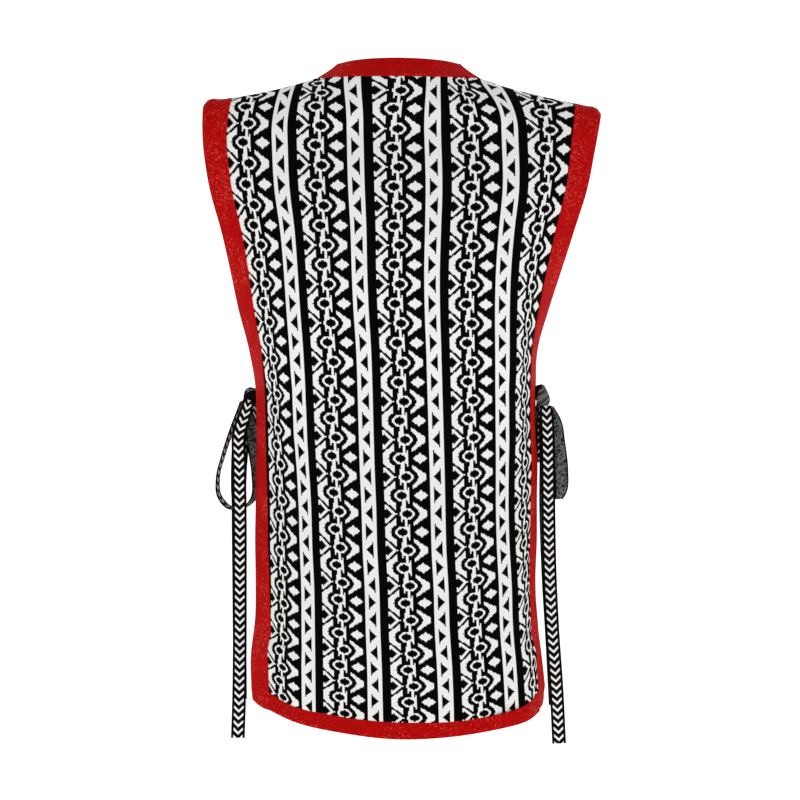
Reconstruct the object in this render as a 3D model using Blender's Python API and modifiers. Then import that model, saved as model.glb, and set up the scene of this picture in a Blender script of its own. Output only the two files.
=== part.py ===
"""A long knitted tabard vest, as it hangs when worn.

Two jacquard panels meet only at the shoulders. A knitted trim runs up each
side, over the shoulder and down the other side, another trim closes each hem,
a band stands round the neck, and ribbons tied in a bow close each side at the
waist. Metres, +Z up, front towards -Y, wearer's left towards +X. The origin
is midway between the shoulders, level with their seams.
"""

import math

import bmesh
import bpy
import numpy as np
from mathutils import Vector

# Cloth thicknesses and widths
PANEL_THICK = 0.0020
TRIM_THICK = 0.0028
TRIM_WIDTH = 0.030
RIBBON_THICK = 0.0010
RIBBON_WIDTH = 0.015

# Clearances where one piece is sewn to the next
SEAM_GAP = 0.0005
SHOULDER_GAP = 0.0005
NECK_GAP = 0.0014

# Where the cloth leaves the body and starts to roll over the shoulder
ROLL_DROP = 0.055
# The soft corner where a panel turns to the wearer's side, in pattern repeats
CORNER_PLACE = 1.72
CORNER_WIDTH = 0.50
REACH_REPEATS = 2.3

# Mesh steps
BODY_ROWS = 22
ROLL_ROWS = 7
# A panel is one knitted cloth. Its solid is in three lengths, so that simple
# hulls round each stay close to the curved wall: the rows each one spans.
PANEL_LENGTHS = (("bottom", 0, 8), ("middle", 8, 16), ("top", 16, 29))
LENGTH_GAP = 0.0013
SHOULDER_COLUMNS = 6
NECK_COLUMNS = 12
TURN_STEPS = 40

# One row per height of a panel. depth and shift place its middle line, pitch
# is the width of one pattern repeat, and each side has the gradual turn and
# the corner turn in degrees and the repeats from the middle line to its edge.
PANEL_COLUMNS = ("height", "depth", "shift", "pitch",
                 "left_round", "left_corner", "left_cut",
                 "right_round", "right_corner", "right_cut")
BACK_ROWS = (
    (-0.046, 0.064, 0.0054, 0.0801, 26, 2, 2.26, 8, 17, 2.38),
    (-0.109, 0.091, 0.0038, 0.0792, 36, 3, 2.26, 14, 25, 2.34),
    (-0.150, 0.101, 0.0033, 0.0760, 40, 5, 2.26, 19, 28, 2.34),
    (-0.191, 0.105, 0.0033, 0.0739, 43, 8, 2.26, 21, 36, 2.37),
    (-0.231, 0.103, 0.0023, 0.0727, 41, 16, 2.27, 23, 44, 2.38),
    (-0.272, 0.100, 0.0003, 0.0716, 36, 28, 2.28, 24, 52, 2.38),
    (-0.313, 0.095, -0.0010, 0.0716, 40, 30, 2.34, 33, 46, 2.38),
    (-0.354, 0.096, -0.0021, 0.0718, 48, 22, 2.36, 43, 37, 2.38),
    (-0.395, 0.098, -0.0033, 0.0718, 53, 15, 2.35, 50, 28, 2.34),
    (-0.436, 0.102, -0.0046, 0.0710, 54, 11, 2.34, 52, 26, 2.30),
    (-0.477, 0.107, -0.0056, 0.0707, 53, 10, 2.33, 50, 28, 2.22),
    (-0.518, 0.110, -0.0077, 0.0706, 51, 10, 2.31, 48, 33, 2.17),
    (-0.558, 0.114, -0.0087, 0.0707, 50, 9, 2.28, 47, 34, 2.18),
    (-0.599, 0.116, -0.0107, 0.0716, 48, 5, 2.26, 46, 34, 2.22),
    (-0.640, 0.117, -0.0120, 0.0724, 49, 4, 2.24, 46, 32, 2.20),
    (-0.680, 0.118, -0.0130, 0.0730, 49, 4, 2.24, 46, 30, 2.20),
)
FRONT_ROWS = (
    (-0.050, -0.066, 0.002, 0.0800, 22, 3, 2.20, 22, 3, 2.20),
    (-0.100, -0.088, 0.002, 0.0790, 30, 6, 2.16, 30, 6, 2.16),
    (-0.150, -0.106, 0.002, 0.0760, 38, 10, 2.16, 38, 10, 2.16),
    (-0.200, -0.119, 0.002, 0.0735, 42, 16, 2.18, 42, 16, 2.18),
    (-0.260, -0.122, 0.002, 0.0720, 40, 28, 2.18, 40, 28, 2.18),
    (-0.320, -0.114, 0.002, 0.0715, 44, 26, 2.18, 44, 26, 2.18),
    (-0.380, -0.112, 0.002, 0.0715, 50, 20, 2.18, 50, 20, 2.18),
    (-0.450, -0.113, 0.001, 0.0710, 54, 16, 2.18, 54, 16, 2.18),
    (-0.520, -0.115, 0.001, 0.0708, 55, 14, 2.16, 55, 14, 2.16),
    (-0.600, -0.115, 0.000, 0.0716, 53, 10, 2.12, 53, 10, 2.12),
    (-0.680, -0.114, 0.000, 0.0726, 50, 8, 2.10, 50, 8, 2.10),
)

# The shoulder ridge. place is 0 at the neck, 1 at the panel's edge and 2 at
# the trim's outer edge; lean is how far the cloth has tipped from upright.
SHOULDER_COLUMNS_OF = ("place", "x", "y", "z", "lean")
LEFT_SHOULDER = (
    (0.00, 0.0852, 0.004, 0.0127, 62),
    (0.35, 0.1137, -0.002, 0.0049, 84),
    (0.60, 0.1372, -0.004, -0.0007, 90),
    (1.00, 0.1769, -0.008, -0.0077, 90),
    (1.50, 0.1915, -0.010, -0.0092, 90),
    (1.85, 0.2030, -0.012, -0.0098, 90),
    (2.00, 0.2075, -0.013, -0.0150, 90),
)
RIGHT_SHOULDER = (
    (0.00, -0.0837, 0.004, 0.0128, 62),
    (0.15, -0.0987, 0.000, 0.0079, 78),
    (0.40, -0.1234, -0.003, 0.0003, 90),
    (0.65, -0.1502, -0.006, -0.0058, 90),
    (1.00, -0.1867, -0.010, -0.0134, 90),
    (1.50, -0.2000, -0.012, -0.0163, 90),
    (1.85, -0.2105, -0.014, -0.0185, 90),
    (2.00, -0.2145, -0.015, -0.0235, 90),
)

# The neck seam with the lean of the panel there, and the band's upper edge.
# place is 1 at the left shoulder and -1 at the right.
NECK_COLUMNS_OF = ("place", "x", "y", "z", "lean", "brim_x", "brim_y", "brim_z")
BACK_NECK = (
    (-1.00, -0.0837, 0.004, 0.0128, 62, -0.0640, -0.004, 0.0280),
    (-0.65, -0.0598, 0.026, 0.0119, 42, -0.0475, 0.012, 0.0300),
    (-0.35, -0.0345, 0.038, 0.0114, 34, -0.0285, 0.022, 0.0311),
    (0.00, 0.0010, 0.044, 0.0114, 30, 0.0010, 0.027, 0.0318),
    (0.35, 0.0365, 0.038, 0.0117, 34, 0.0300, 0.022, 0.0314),
    (0.65, 0.0619, 0.026, 0.0123, 42, 0.0475, 0.012, 0.0304),
    (1.00, 0.0852, 0.004, 0.0127, 62, 0.0640, -0.004, 0.0283),
)
FRONT_NECK = (
    (-1.00, -0.0837, 0.004, 0.0128, 62, -0.0640, -0.004, 0.0280),
    (-0.80, -0.0765, -0.014, -0.0100, 55, -0.0590, -0.017, 0.0090),
    (-0.55, -0.0590, -0.040, -0.0440, 45, -0.0460, -0.039, -0.0215),
    (-0.28, -0.0320, -0.060, -0.0750, 36, -0.0265, -0.055, -0.0500),
    (0.00, 0.0010, -0.067, -0.0860, 32, 0.0010, -0.061, -0.0600),
    (0.28, 0.0340, -0.060, -0.0750, 36, 0.0285, -0.055, -0.0500),
    (0.55, 0.0610, -0.040, -0.0440, 45, 0.0480, -0.039, -0.0215),
    (0.80, 0.0780, -0.014, -0.0100, 55, 0.0605, -0.017, 0.0090),
    (1.00, 0.0852, 0.004, 0.0127, 62, 0.0640, -0.004, 0.0283),
)
BACK_NECK_AT = (0.453, 0.576)
FRONT_NECK_AT = (0.500, 0.500)

# Hem seam and hem edge heights across a panel, 1 at the left edge.
HEM_COLUMNS_OF = ("place", "seam", "edge")
BACK_HEM = (
    (-1.00, -0.6320, -0.6535),
    (-0.65, -0.6462, -0.6618),
    (-0.25, -0.6518, -0.6686),
    (0.10, -0.6525, -0.6704),
    (0.45, -0.6488, -0.6660),
    (0.80, -0.6410, -0.6590),
    (1.00, -0.6322, -0.6515),
)
FRONT_HEM = (
    (-1.00, -0.6260, -0.6450),
    (-0.60, -0.6400, -0.6570),
    (0.00, -0.6460, -0.6630),
    (0.60, -0.6400, -0.6570),
    (1.00, -0.6260, -0.6450),
)

# Lower ends of the side trims: edge heights at the panel and at the outer
# edge, and how far the outer corner is drawn in.
BACK_CORNERS = {"left": (-0.6515, -0.6440, 0.06), "right": (-0.6505, -0.6385, 0.34)}
FRONT_CORNERS = {"left": (-0.6450, -0.6360, 0.20), "right": (-0.6450, -0.6360, 0.20)}

# Knots: centre, size and tilt about the view's axis in degrees.
KNOTS = {
    "left": ((0.1618, -0.0120, -0.3255), (0.011, 0.012, 0.020), -14),
    "right": ((-0.1560, -0.0120, -0.3270), (0.012, 0.012, 0.023), 16),
}

# Ribbon runs. Each station is a point on the middle of the ribbon, the
# direction of its width seen from above (0 along X, 90 along Y) and how much
# of the full width it has where it is pinched into the knot.
RIBBON_COLUMNS_OF = ("x", "y", "z", "width_turn", "spread")
RIBBONS = {
    "left_tie_back_loop": (
        (0.1704, -0.0120, -0.3310, 88, 0.55), (0.1775, -0.0115, -0.3540, 75, 0.85),
        (0.1885, -0.0110, -0.3870, 78, 1.0), (0.1950, -0.0110, -0.4130, 80, 1.0),
        (0.1935, -0.0115, -0.4330, 78, 1.0), (0.1830, -0.0125, -0.4450, 72, 1.0),
        (0.1700, -0.0135, -0.4450, 60, 1.0), (0.1610, -0.0135, -0.4330, 40, 1.0),
        (0.1595, -0.0130, -0.4070, 18, 1.0), (0.1600, -0.0125, -0.3740, 8, 1.0),
        (0.1615, -0.0125, -0.3480, 5, 0.8), (0.1635, -0.0125, -0.3372, 0, 0.5),
    ),
    "left_tie_front_loop": (
        (0.1610, -0.0188, -0.3230, 0, 0.6), (0.1640, -0.0300, -0.3400, 0, 0.9),
        (0.1680, -0.0450, -0.3650, 0, 1.0), (0.1695, -0.0560, -0.3950, 0, 1.0),
        (0.1700, -0.0600, -0.4180, 0, 1.0), (0.1695, -0.0560, -0.4340, 0, 1.0),
        (0.1685, -0.0460, -0.4375, 0, 1.0), (0.1675, -0.0380, -0.4250, 0, 1.0),
        (0.1660, -0.0355, -0.4000, 0, 1.0), (0.1635, -0.0330, -0.3700, 0, 0.9),
        (0.1580, -0.0265, -0.3450, 0, 0.8), (0.1555, -0.0188, -0.3330, 0, 0.4),
    ),
    "left_tie_back_tail": (
        (0.1630, -0.0050, -0.3300, 0, 0.75), (0.1665, -0.0010, -0.3450, -10, 0.95),
        (0.1708, 0.0030, -0.3640, -8, 1.0), (0.1708, 0.0040, -0.4000, -6, 1.0),
        (0.1705, 0.0040, -0.4600, -4, 1.0), (0.1708, 0.0030, -0.5200, -3, 1.0),
        (0.1712, 0.0025, -0.5900, 0, 1.0), (0.1722, 0.0015, -0.6500, 3, 1.0),
        (0.1738, 0.0005, -0.6935, 6, 1.0),
    ),
    "left_tie_front_tail": (
        (0.1660, -0.0188, -0.3310, 8, 0.55), (0.1700, -0.0235, -0.3500, 6, 0.9),
        (0.1735, -0.0270, -0.3800, 4, 1.0), (0.1742, -0.0270, -0.4500, 2, 1.0),
        (0.1738, -0.0270, -0.5300, 0, 1.0), (0.1735, -0.0270, -0.6000, -4, 1.0),
        (0.1732, -0.0265, -0.6560, -6, 1.0),
    ),
    "right_tie_back_loop": (
        (-0.1622, -0.0098, -0.3380, 0, 0.60), (-0.1672, -0.0070, -0.3520, -8, 0.95),
        (-0.1712, -0.0065, -0.3760, -6, 1.0), (-0.1745, -0.0075, -0.4040, -5, 1.0),
        (-0.1757, -0.0120, -0.4270, -4, 1.0), (-0.1757, -0.0190, -0.4365, -2, 1.0),
        (-0.1755, -0.0260, -0.4260, 0, 1.0), (-0.1740, -0.0260, -0.4000, 0, 1.0),
        (-0.1695, -0.0215, -0.3680, 4, 0.95), (-0.1630, -0.0188, -0.3370, 8, 0.5),
    ),
    "right_tie_front_loop": (
        (-0.1540, -0.0188, -0.3230, 0, 0.5), (-0.1545, -0.0330, -0.3420, 0, 0.9),
        (-0.1560, -0.0470, -0.3640, 0, 1.0), (-0.1570, -0.0540, -0.3850, 0, 1.0),
        (-0.1570, -0.0490, -0.3990, 0, 1.0), (-0.1565, -0.0390, -0.3970, 0, 1.0),
        (-0.1558, -0.0320, -0.3800, 0, 1.0), (-0.1545, -0.0260, -0.3560, 0, 0.8),
        (-0.1535, -0.0188, -0.3385, 0, 0.4),
    ),
    "right_tie_back_tail": (
        (-0.1575, -0.0050, -0.3350, 0, 0.8), (-0.1582, -0.0020, -0.3460, 6, 0.97),
        (-0.1588, 0.0020, -0.3620, 5, 1.0), (-0.1593, 0.0040, -0.3900, 4, 1.0),
        (-0.1602, 0.0040, -0.4600, 3, 1.0), (-0.1618, 0.0035, -0.5200, 2, 1.0),
        (-0.1650, 0.0030, -0.5800, 0, 1.0), (-0.1695, 0.0020, -0.6400, -3, 1.0),
        (-0.1727, 0.0010, -0.6995, -6, 1.0),
    ),
    "right_tie_front_tail": (
        (-0.1560, -0.0140, -0.3397, 0, 0.6), (-0.1575, -0.0160, -0.3560, 0, 0.9),
        (-0.1590, -0.0170, -0.3800, 0, 1.0), (-0.1590, -0.0180, -0.4400, 0, 1.0),
        (-0.1620, -0.0210, -0.5200, 0, 1.0), (-0.1665, -0.0230, -0.5900, 2, 1.0),
        (-0.1705, -0.0240, -0.6620, 4, 1.0),
    ),
}
# Straps: how far in from the trim's outer edge each is sewn, its height, and
# where it lies against the knot.
STRAP_SEWN = 0.014
STRAP_HEIGHT = -0.3195
STRAP_STEPS = 6
STRAP_PINCH = 0.7
STRAP_END_X = {"left": 0.1525, "right": -0.1450}
STRAP_END_INSET = 0.0025


def column(rows, names, name):
    """One named column of a table as an array."""
    return np.array([row[names.index(name)] for row in rows], float)


def smooth(xs, ys, x):
    """Read a smooth curve through (xs, ys), held level past both ends."""
    if xs[0] > xs[-1]:
        xs, ys = xs[::-1], ys[::-1]
    slopes = np.gradient(ys, xs)
    x = np.clip(x, xs[0], xs[-1])
    i = np.clip(np.searchsorted(xs, x) - 1, 0, len(xs) - 2)
    step = xs[i + 1] - xs[i]
    t = (x - xs[i]) / step
    return ((2 * t**3 - 3 * t**2 + 1) * ys[i] + (t**3 - 2 * t**2 + t) * step * slopes[i]
            + (3 * t**2 - 2 * t**3) * ys[i + 1] + (t**3 - t**2) * step * slopes[i + 1])


def read(rows, names, name, at):
    """A named column, read smoothly against the table's first column."""
    return smooth(column(rows, names, names[0]), column(rows, names, name), at)


def drape(rows, place, height):
    """Points where the cloth lies round the body, below the shoulders.

    place is 0 on the middle line, 1 at the left edge of the panel and 2 at
    the trim's outer edge, and negative on the right.
    """
    place, height = np.broadcast_arrays(np.asarray(place, float), np.asarray(height, float))
    value = {name: read(rows, PANEL_COLUMNS, name, height) for name in PANEL_COLUMNS[1:]}
    left = place >= 0
    cut = np.where(left, value["left_cut"], value["right_cut"]) * value["pitch"]
    run = np.minimum(abs(place), 1) * cut + np.maximum(abs(place) - 1, 0) * TRIM_WIDTH
    gradual = np.radians(np.where(left, value["left_round"], value["right_round"]))
    corner = np.radians(np.where(left, value["left_corner"], value["right_corner"]))
    reach = REACH_REPEATS * value["pitch"] + TRIM_WIDTH
    # Walk along the section from the middle, turning a little at each step.
    steps = (np.arange(TURN_STEPS) + 0.5) / TURN_STEPS
    walked = run[..., None] * steps
    past = (walked / value["pitch"][..., None] - CORNER_PLACE) / CORNER_WIDTH + 0.5
    past = np.clip(past, 0, 1)
    turn = (gradual[..., None] * walked / reach[..., None]
            + corner[..., None] * past**2 * (3 - 2 * past))
    out = np.cos(turn).mean(-1) * run
    back = np.sin(turn).mean(-1) * run
    facing = np.sign(value["depth"])
    return np.stack([value["shift"] + np.where(left, out, -out),
                     value["depth"] - facing * back, height], -1)


def top_edge(neck_rows, neck_at, place):
    """The panel's upper edge: the neck seam inside, the shoulder ridge outside."""
    place = np.asarray(place, float)
    result = []
    for value in place.ravel():
        side = 0 if value >= 0 else 1
        size = abs(value)
        if size <= neck_at[side]:
            at = value / neck_at[side]
            row = [read(neck_rows, NECK_COLUMNS_OF, name, np.array([at]))[0]
                   for name in ("x", "y", "z", "lean")]
        else:
            rows = (LEFT_SHOULDER, RIGHT_SHOULDER)[side]
            at = (size - neck_at[side]) / (1 - neck_at[side]) if size <= 1 else size
            row = [read(rows, SHOULDER_COLUMNS_OF, name, np.array([at]))[0]
                   for name in ("x", "y", "z", "lean")]
        result.append(row)
    result = np.array(result).reshape(place.shape + (4,))
    return result[..., :3], np.radians(result[..., 3])


class Side:
    """The back or the front: its tables and which way it faces."""

    def __init__(self, rows, neck_rows, neck_at, hem_rows, corners, facing):
        self.rows, self.neck_rows, self.neck_at = rows, neck_rows, neck_at
        self.hem_rows, self.corners, self.facing = hem_rows, corners, facing

    def hem(self, name, place):
        return read(self.hem_rows, HEM_COLUMNS_OF, name, np.clip(place, -1, 1))

    def point(self, place, rise, short=0.0):
        """A point of the cloth: rise runs 0 to 1 up the body from the hem seam
        and 1 to 2 over the roll to the upper edge, which stops short by short."""
        place, rise = np.broadcast_arrays(np.asarray(place, float), np.asarray(rise, float))
        end, lean = top_edge(self.neck_rows, self.neck_at, place)
        away = np.stack([np.zeros_like(lean), -self.facing * np.sin(lean), np.cos(lean)], -1)
        end = end - away * np.asarray(short)[..., None]
        low, fold = self.hem("seam", place), end[..., 2] - ROLL_DROP
        body = drape(self.rows, place, low + (fold - low) * np.minimum(rise, 1))
        start = drape(self.rows, place, fold)
        upward = drape(self.rows, place, fold + 0.001) - drape(self.rows, place, fold - 0.001)
        upward /= np.linalg.norm(upward, axis=-1)[..., None]
        length = np.linalg.norm(end - start, axis=-1)[..., None] * 1.08
        t = np.clip(rise - 1, 0, 1)[..., None]
        roll = ((2 * t**3 - 3 * t**2 + 1) * start + (t**3 - 2 * t**2 + t) * length * upward
                + (3 * t**2 - 2 * t**3) * end + (t**3 - t**2) * length * away)
        return np.where(rise[..., None] <= 1, body, roll)


BACK = Side(BACK_ROWS, BACK_NECK, BACK_NECK_AT, BACK_HEM, BACK_CORNERS, 1)
FRONT = Side(FRONT_ROWS, FRONT_NECK, FRONT_NECK_AT, FRONT_HEM, FRONT_CORNERS, -1)
SIDES = {"back": BACK, "front": FRONT}


def fabric(name, colour, roughness, metallic=0.0):
    """A plain material with the part's colour."""
    material = bpy.data.materials.new(name)
    material.use_nodes = True
    shader = material.node_tree.nodes["Principled BSDF"]
    shader.inputs["Base Color"].default_value = (*colour, 1.0)
    shader.inputs["Roughness"].default_value = roughness
    shader.inputs["Metallic"].default_value = metallic
    material.diffuse_color = (*colour, 1.0)
    return material


def cloth(name, across, along, place_points, thick, material, collection, loop=False):
    """A grid of cloth moved onto its surface and given its thickness.

    place_points takes the two steps of each vertex, counted from 0, and gives
    its points. A loop is closed on itself along its first direction.
    """
    bm = bmesh.new()
    bmesh.ops.create_grid(bm, x_segments=across, y_segments=along, size=1.0)
    flat = np.array([vert.co[:] for vert in bm.verts])
    i = np.rint((flat[:, 0] + 1) / 2 * across).astype(int)
    j = np.rint((flat[:, 1] + 1) / 2 * along).astype(int)
    for vert, point in zip(bm.verts, place_points(i, j)):
        vert.co = Vector(point)
    if loop:
        bmesh.ops.remove_doubles(bm, verts=bm.verts, dist=0.00005)
    mesh = bpy.data.meshes.new(name)
    bm.to_mesh(mesh)
    bm.free()
    mesh.shade_smooth()
    mesh.materials.append(material)
    piece = bpy.data.objects.new(name, mesh)
    collection.objects.link(piece)
    shell = piece.modifiers.new("thickness", "SOLIDIFY")
    shell.thickness = thick
    shell.offset = 0.0
    shell.use_even_offset = True
    return piece


def panel_places(neck_at):
    """The columns of a panel, with one on each end of the neck seam."""
    left, right = neck_at
    return np.concatenate([np.linspace(-1, -right, SHOULDER_COLUMNS + 1)[:-1],
                           np.linspace(-right, left, NECK_COLUMNS + 1)[:-1],
                           np.linspace(left, 1, SHOULDER_COLUMNS + 1)])


def neck_steps(neck_at):
    """The panel's columns along the neck seam, from -1 to 1."""
    left, right = neck_at
    places = np.linspace(-right, left, NECK_COLUMNS + 1)
    return np.where(places >= 0, places / left, places / right)


def rises():
    """The rows of a panel: up the body, then over the roll."""
    return np.concatenate([np.linspace(0, 1, BODY_ROWS + 1),
                           1 + np.linspace(0, 1, ROLL_ROWS + 1)[1:]])


def make_panel(name, side, material, collection):
    """One panel, as its three lengths from the hem seam up."""
    places, rows = panel_places(side.neck_at), rises()
    left, right = side.neck_at
    edge, lean = top_edge(side.neck_rows, side.neck_at, places)
    at_neck = (places < left - 1e-6) & (places > -right + 1e-6)
    # The gap is measured square to the neck seam, which dips at the sides.
    seam = np.gradient(edge, axis=0)
    seam /= np.linalg.norm(seam, axis=1)[:, None]
    upward = np.stack([np.zeros_like(lean), -side.facing * np.sin(lean), np.cos(lean)], -1)
    square = np.linalg.norm(np.cross(seam, upward), axis=1)
    # Where the two panels meet at an angle, their inner faces need more room.
    short = np.where(at_neck, NECK_GAP / np.maximum(square, 0.3),
                     SHOULDER_GAP + PANEL_THICK / 2 / np.tan(lean))

    for length, first, last in PANEL_LENGTHS:
        part = rows[first:last + 1].copy()
        part[0] += LENGTH_GAP / 2 if first else 0
        part[-1] -= LENGTH_GAP / 2 if rows[last] < 2 else 0

        def points(i, j, part=part):
            return side.point(places[i], part[j], short[i])

        cloth(f"{name}_{length}", len(places) - 1, len(part) - 1, points, PANEL_THICK,
              material, collection)


def make_hem_trim(name, side, material, collection):
    places = panel_places(side.neck_at)
    downs = np.array([0.0, 0.5, 1.0])

    def points(i, j):
        seam = side.hem("seam", places[i]) - SEAM_GAP
        return drape(side.rows, places[i], seam + (side.hem("edge", places[i]) - seam) * downs[j])

    return cloth(name, len(places) - 1, 2, points, TRIM_THICK, material, collection)


def make_side_trim(name, hand, material, collection):
    """One strip from the back hem, over the shoulder, to the front hem."""
    sign = 1 if hand == "left" else -1
    places = sign * np.array([1 + SEAM_GAP / TRIM_WIDTH, 1.33, 1.67, 1.88, 2.0])
    rows = rises()

    def half(side, i, row):
        """Points from the lower corner (row 0) to the shoulder ridge."""
        place = places[i]
        inner, outer, draw = side.corners[hand]
        span = abs(place) - 1
        corner_place = sign * (1 + span * (1 - draw * span))
        low = drape(side.rows, corner_place, inner + (outer - inner) * span**2)
        return np.where((row == 0)[:, None], low,
                        side.point(place, rows[np.maximum(row - 1, 0)]))

    last = len(rows)

    def points(i, j):
        up = half(BACK, i, np.minimum(j, last))
        down = half(FRONT, i, np.minimum(2 * last - j, last))
        return np.where((j <= last)[:, None], up, down)

    return cloth(name, len(places) - 1, 2 * last, points, TRIM_THICK, material, collection)


def make_neckband(name, material, collection):
    """The band: down the back from left to right, then round the front."""
    around = [(BACK_NECK, at) for at in neck_steps(BACK_NECK_AT)[:0:-1]]
    around += [(FRONT_NECK, at) for at in neck_steps(FRONT_NECK_AT)]
    seam, brim = [], []
    for rows, at in around:
        at = np.array([at])
        value = [read(rows, NECK_COLUMNS_OF, key, at)[0] for key in NECK_COLUMNS_OF[1:]]
        seam.append(value[:3])
        brim.append(value[4:])
    seam, brim = np.array(seam), np.array(brim)
    across = brim - seam
    seam = seam + across / np.linalg.norm(across, axis=1)[:, None] * NECK_GAP
    rises_of = np.array([0.0, 0.35, 0.7, 1.0])
    hollow = 0.0012

    def points(i, j):
        t = rises_of[j]
        point = seam[i] + (brim - seam)[i] * t[:, None]
        centre = np.array([0.001, -0.010, 0.0])
        outward = (point - centre) * (1, 1, 0)
        outward /= np.linalg.norm(outward, axis=1)[:, None]
        return point - outward * (hollow * np.sin(math.pi * t))[:, None]

    return cloth(name, len(around) - 1, 3, points, TRIM_THICK, material, collection, loop=True)


def make_ribbon(name, stations, steps, material, collection):
    """A flat ribbon along a smooth line through its stations."""
    table = np.array(stations, float)
    runs = np.concatenate([[0], np.cumsum(np.linalg.norm(np.diff(table[:, :3], axis=0), axis=1))])

    def line(key, at):
        return smooth(runs, table[:, RIBBON_COLUMNS_OF.index(key)], at)

    def points(i, j):
        at = runs[-1] * j / steps
        middle = np.stack([line(key, at) for key in "xyz"], -1)
        ahead = np.stack([line(key, np.minimum(at + 0.002, runs[-1])) for key in "xyz"], -1)
        behind = np.stack([line(key, np.maximum(at - 0.002, 0)) for key in "xyz"], -1)
        along = ahead - behind
        along /= np.linalg.norm(along, axis=1)[:, None]
        turn = np.radians(line("width_turn", at))
        wide = np.stack([np.cos(turn), np.sin(turn), np.zeros_like(turn)], -1)
        wide = wide - along * (wide * along).sum(1)[:, None]
        wide /= np.linalg.norm(wide, axis=1)[:, None]
        half = RIBBON_WIDTH / 2 * line("spread", at)
        return middle + wide * ((i - 1) * half)[:, None]

    return cloth(name, 2, steps, points, RIBBON_THICK, material, collection)


def make_strap(name, side, hand, material, collection):
    """The sewn end of a ribbon: from inside the trim's edge out to the knot."""
    sign = 1 if hand == "left" else -1
    inset = TRIM_THICK / 2 + RIBBON_THICK / 2 + 0.0004
    half = RIBBON_WIDTH / 2

    def spine(height):
        """The strap's line at one height: sewn end, trim's edge, knot."""
        outer = drape(side.rows, sign * 2.0, height)
        sewn = drape(side.rows, sign * (2.0 - STRAP_SEWN / TRIM_WIDTH), height)
        along = outer - sewn
        inward = np.array([-along[1], along[0], 0.0])
        inward *= -sign * side.facing / np.linalg.norm(inward)
        end_height = STRAP_HEIGHT + (height - STRAP_HEIGHT) * STRAP_PINCH
        knot = np.array([STRAP_END_X[hand],
                         KNOTS[hand][0][1] + side.facing * STRAP_END_INSET, end_height])
        return np.array([sewn + inward * inset, outer + inward * inset, knot])

    lines = [spine(STRAP_HEIGHT + step * half) for step in (-1, 0, 1)]

    def points(i, j):
        found = []
        for line_no, step in zip(i, j):
            line = lines[line_no]
            runs = np.concatenate([[0], np.cumsum(np.linalg.norm(np.diff(line, axis=0), axis=1))])
            at = runs[-1] * step / STRAP_STEPS
            found.append([np.interp(at, runs, line[:, k]) for k in range(3)])
        return np.array(found)

    return cloth(name, 2, STRAP_STEPS, points, RIBBON_THICK, material, collection)


def make_knot(name, hand, material, collection):
    """A rounded lump of pulled ribbon."""
    centre, size, tilt = KNOTS[hand]
    bm = bmesh.new()
    bmesh.ops.create_cube(bm, size=1.0)
    bmesh.ops.scale(bm, vec=Vector(size), verts=bm.verts)
    mesh = bpy.data.meshes.new(name)
    bm.to_mesh(mesh)
    bm.free()
    mesh.materials.append(material)
    piece = bpy.data.objects.new(name, mesh)
    piece.location = centre
    piece.rotation_euler = (0.0, math.radians(tilt), 0.0)
    collection.objects.link(piece)
    edge = piece.modifiers.new("rounding", "BEVEL")
    edge.width = 0.003
    edge.segments = 2
    return piece


def main():
    for old in list(bpy.data.objects):
        bpy.data.objects.remove(old)
    vest = bpy.data.collections.new("knitted_vest")
    bpy.context.scene.collection.children.link(vest)

    jacquard = fabric("jacquard_knit", (0.30, 0.30, 0.29), 0.9)
    lurex = fabric("red_lurex_knit", (0.45, 0.004, 0.004), 0.6, 0.2)
    woven = fabric("black_woven_ribbon", (0.01, 0.01, 0.01), 0.6)

    for face, side in SIDES.items():
        make_panel(face + "_panel", side, jacquard, vest)
        make_hem_trim(face + "_hem_trim", side, lurex, vest)
    for hand in ("left", "right"):
        make_side_trim(hand + "_trim", hand, lurex, vest)
        make_knot(hand + "_tie_knot", hand, woven, vest)
        for face, side in SIDES.items():
            make_strap(f"{hand}_tie_{face}_strap", side, hand, woven, vest)
    make_neckband("neckband", lurex, vest)
    for name, stations in RIBBONS.items():
        make_ribbon(name, stations, 26 if name.endswith("loop") else 18, woven, vest)


main()
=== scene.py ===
"""Dresses the tabard vest: jacquard panels, red lurex trims and woven ribbon ties.

Each piece of cloth lies where its solid lies, with finer folds, and is one
sheet of knit or ribbon with a right side and a wrong side.
"""

import math

import bmesh
import bpy
import numpy as np
from bpy.props import FloatProperty, FloatVectorProperty, IntProperty, PointerProperty
from bpy.types import Operator, Panel, PropertyGroup
from mathutils import Matrix, Vector


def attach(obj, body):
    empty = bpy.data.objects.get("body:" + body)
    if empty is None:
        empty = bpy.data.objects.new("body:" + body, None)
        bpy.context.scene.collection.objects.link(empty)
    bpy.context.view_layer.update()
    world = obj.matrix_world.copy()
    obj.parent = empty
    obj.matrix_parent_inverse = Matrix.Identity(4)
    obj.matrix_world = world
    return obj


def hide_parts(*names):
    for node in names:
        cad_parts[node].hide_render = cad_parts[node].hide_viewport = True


bl_info = {
    "name": "Knitted tabard vest",
    "version": (1, 0, 0),
    "blender": (4, 5, 0),
    "location": "View3D > Sidebar > Vest",
    "description": "Builds a worn knitted tabard vest with ribbon ties",
    "category": "Object",
}

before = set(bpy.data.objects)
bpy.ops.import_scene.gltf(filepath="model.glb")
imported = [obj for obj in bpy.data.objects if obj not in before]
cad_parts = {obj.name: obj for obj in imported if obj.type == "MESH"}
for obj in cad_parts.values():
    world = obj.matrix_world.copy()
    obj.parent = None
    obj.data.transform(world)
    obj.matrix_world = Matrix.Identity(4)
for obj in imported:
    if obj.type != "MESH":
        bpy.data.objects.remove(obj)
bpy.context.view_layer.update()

# Cloth that joins tucks this far under its neighbour, so no light shows between
TUCK = 0.0008
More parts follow.
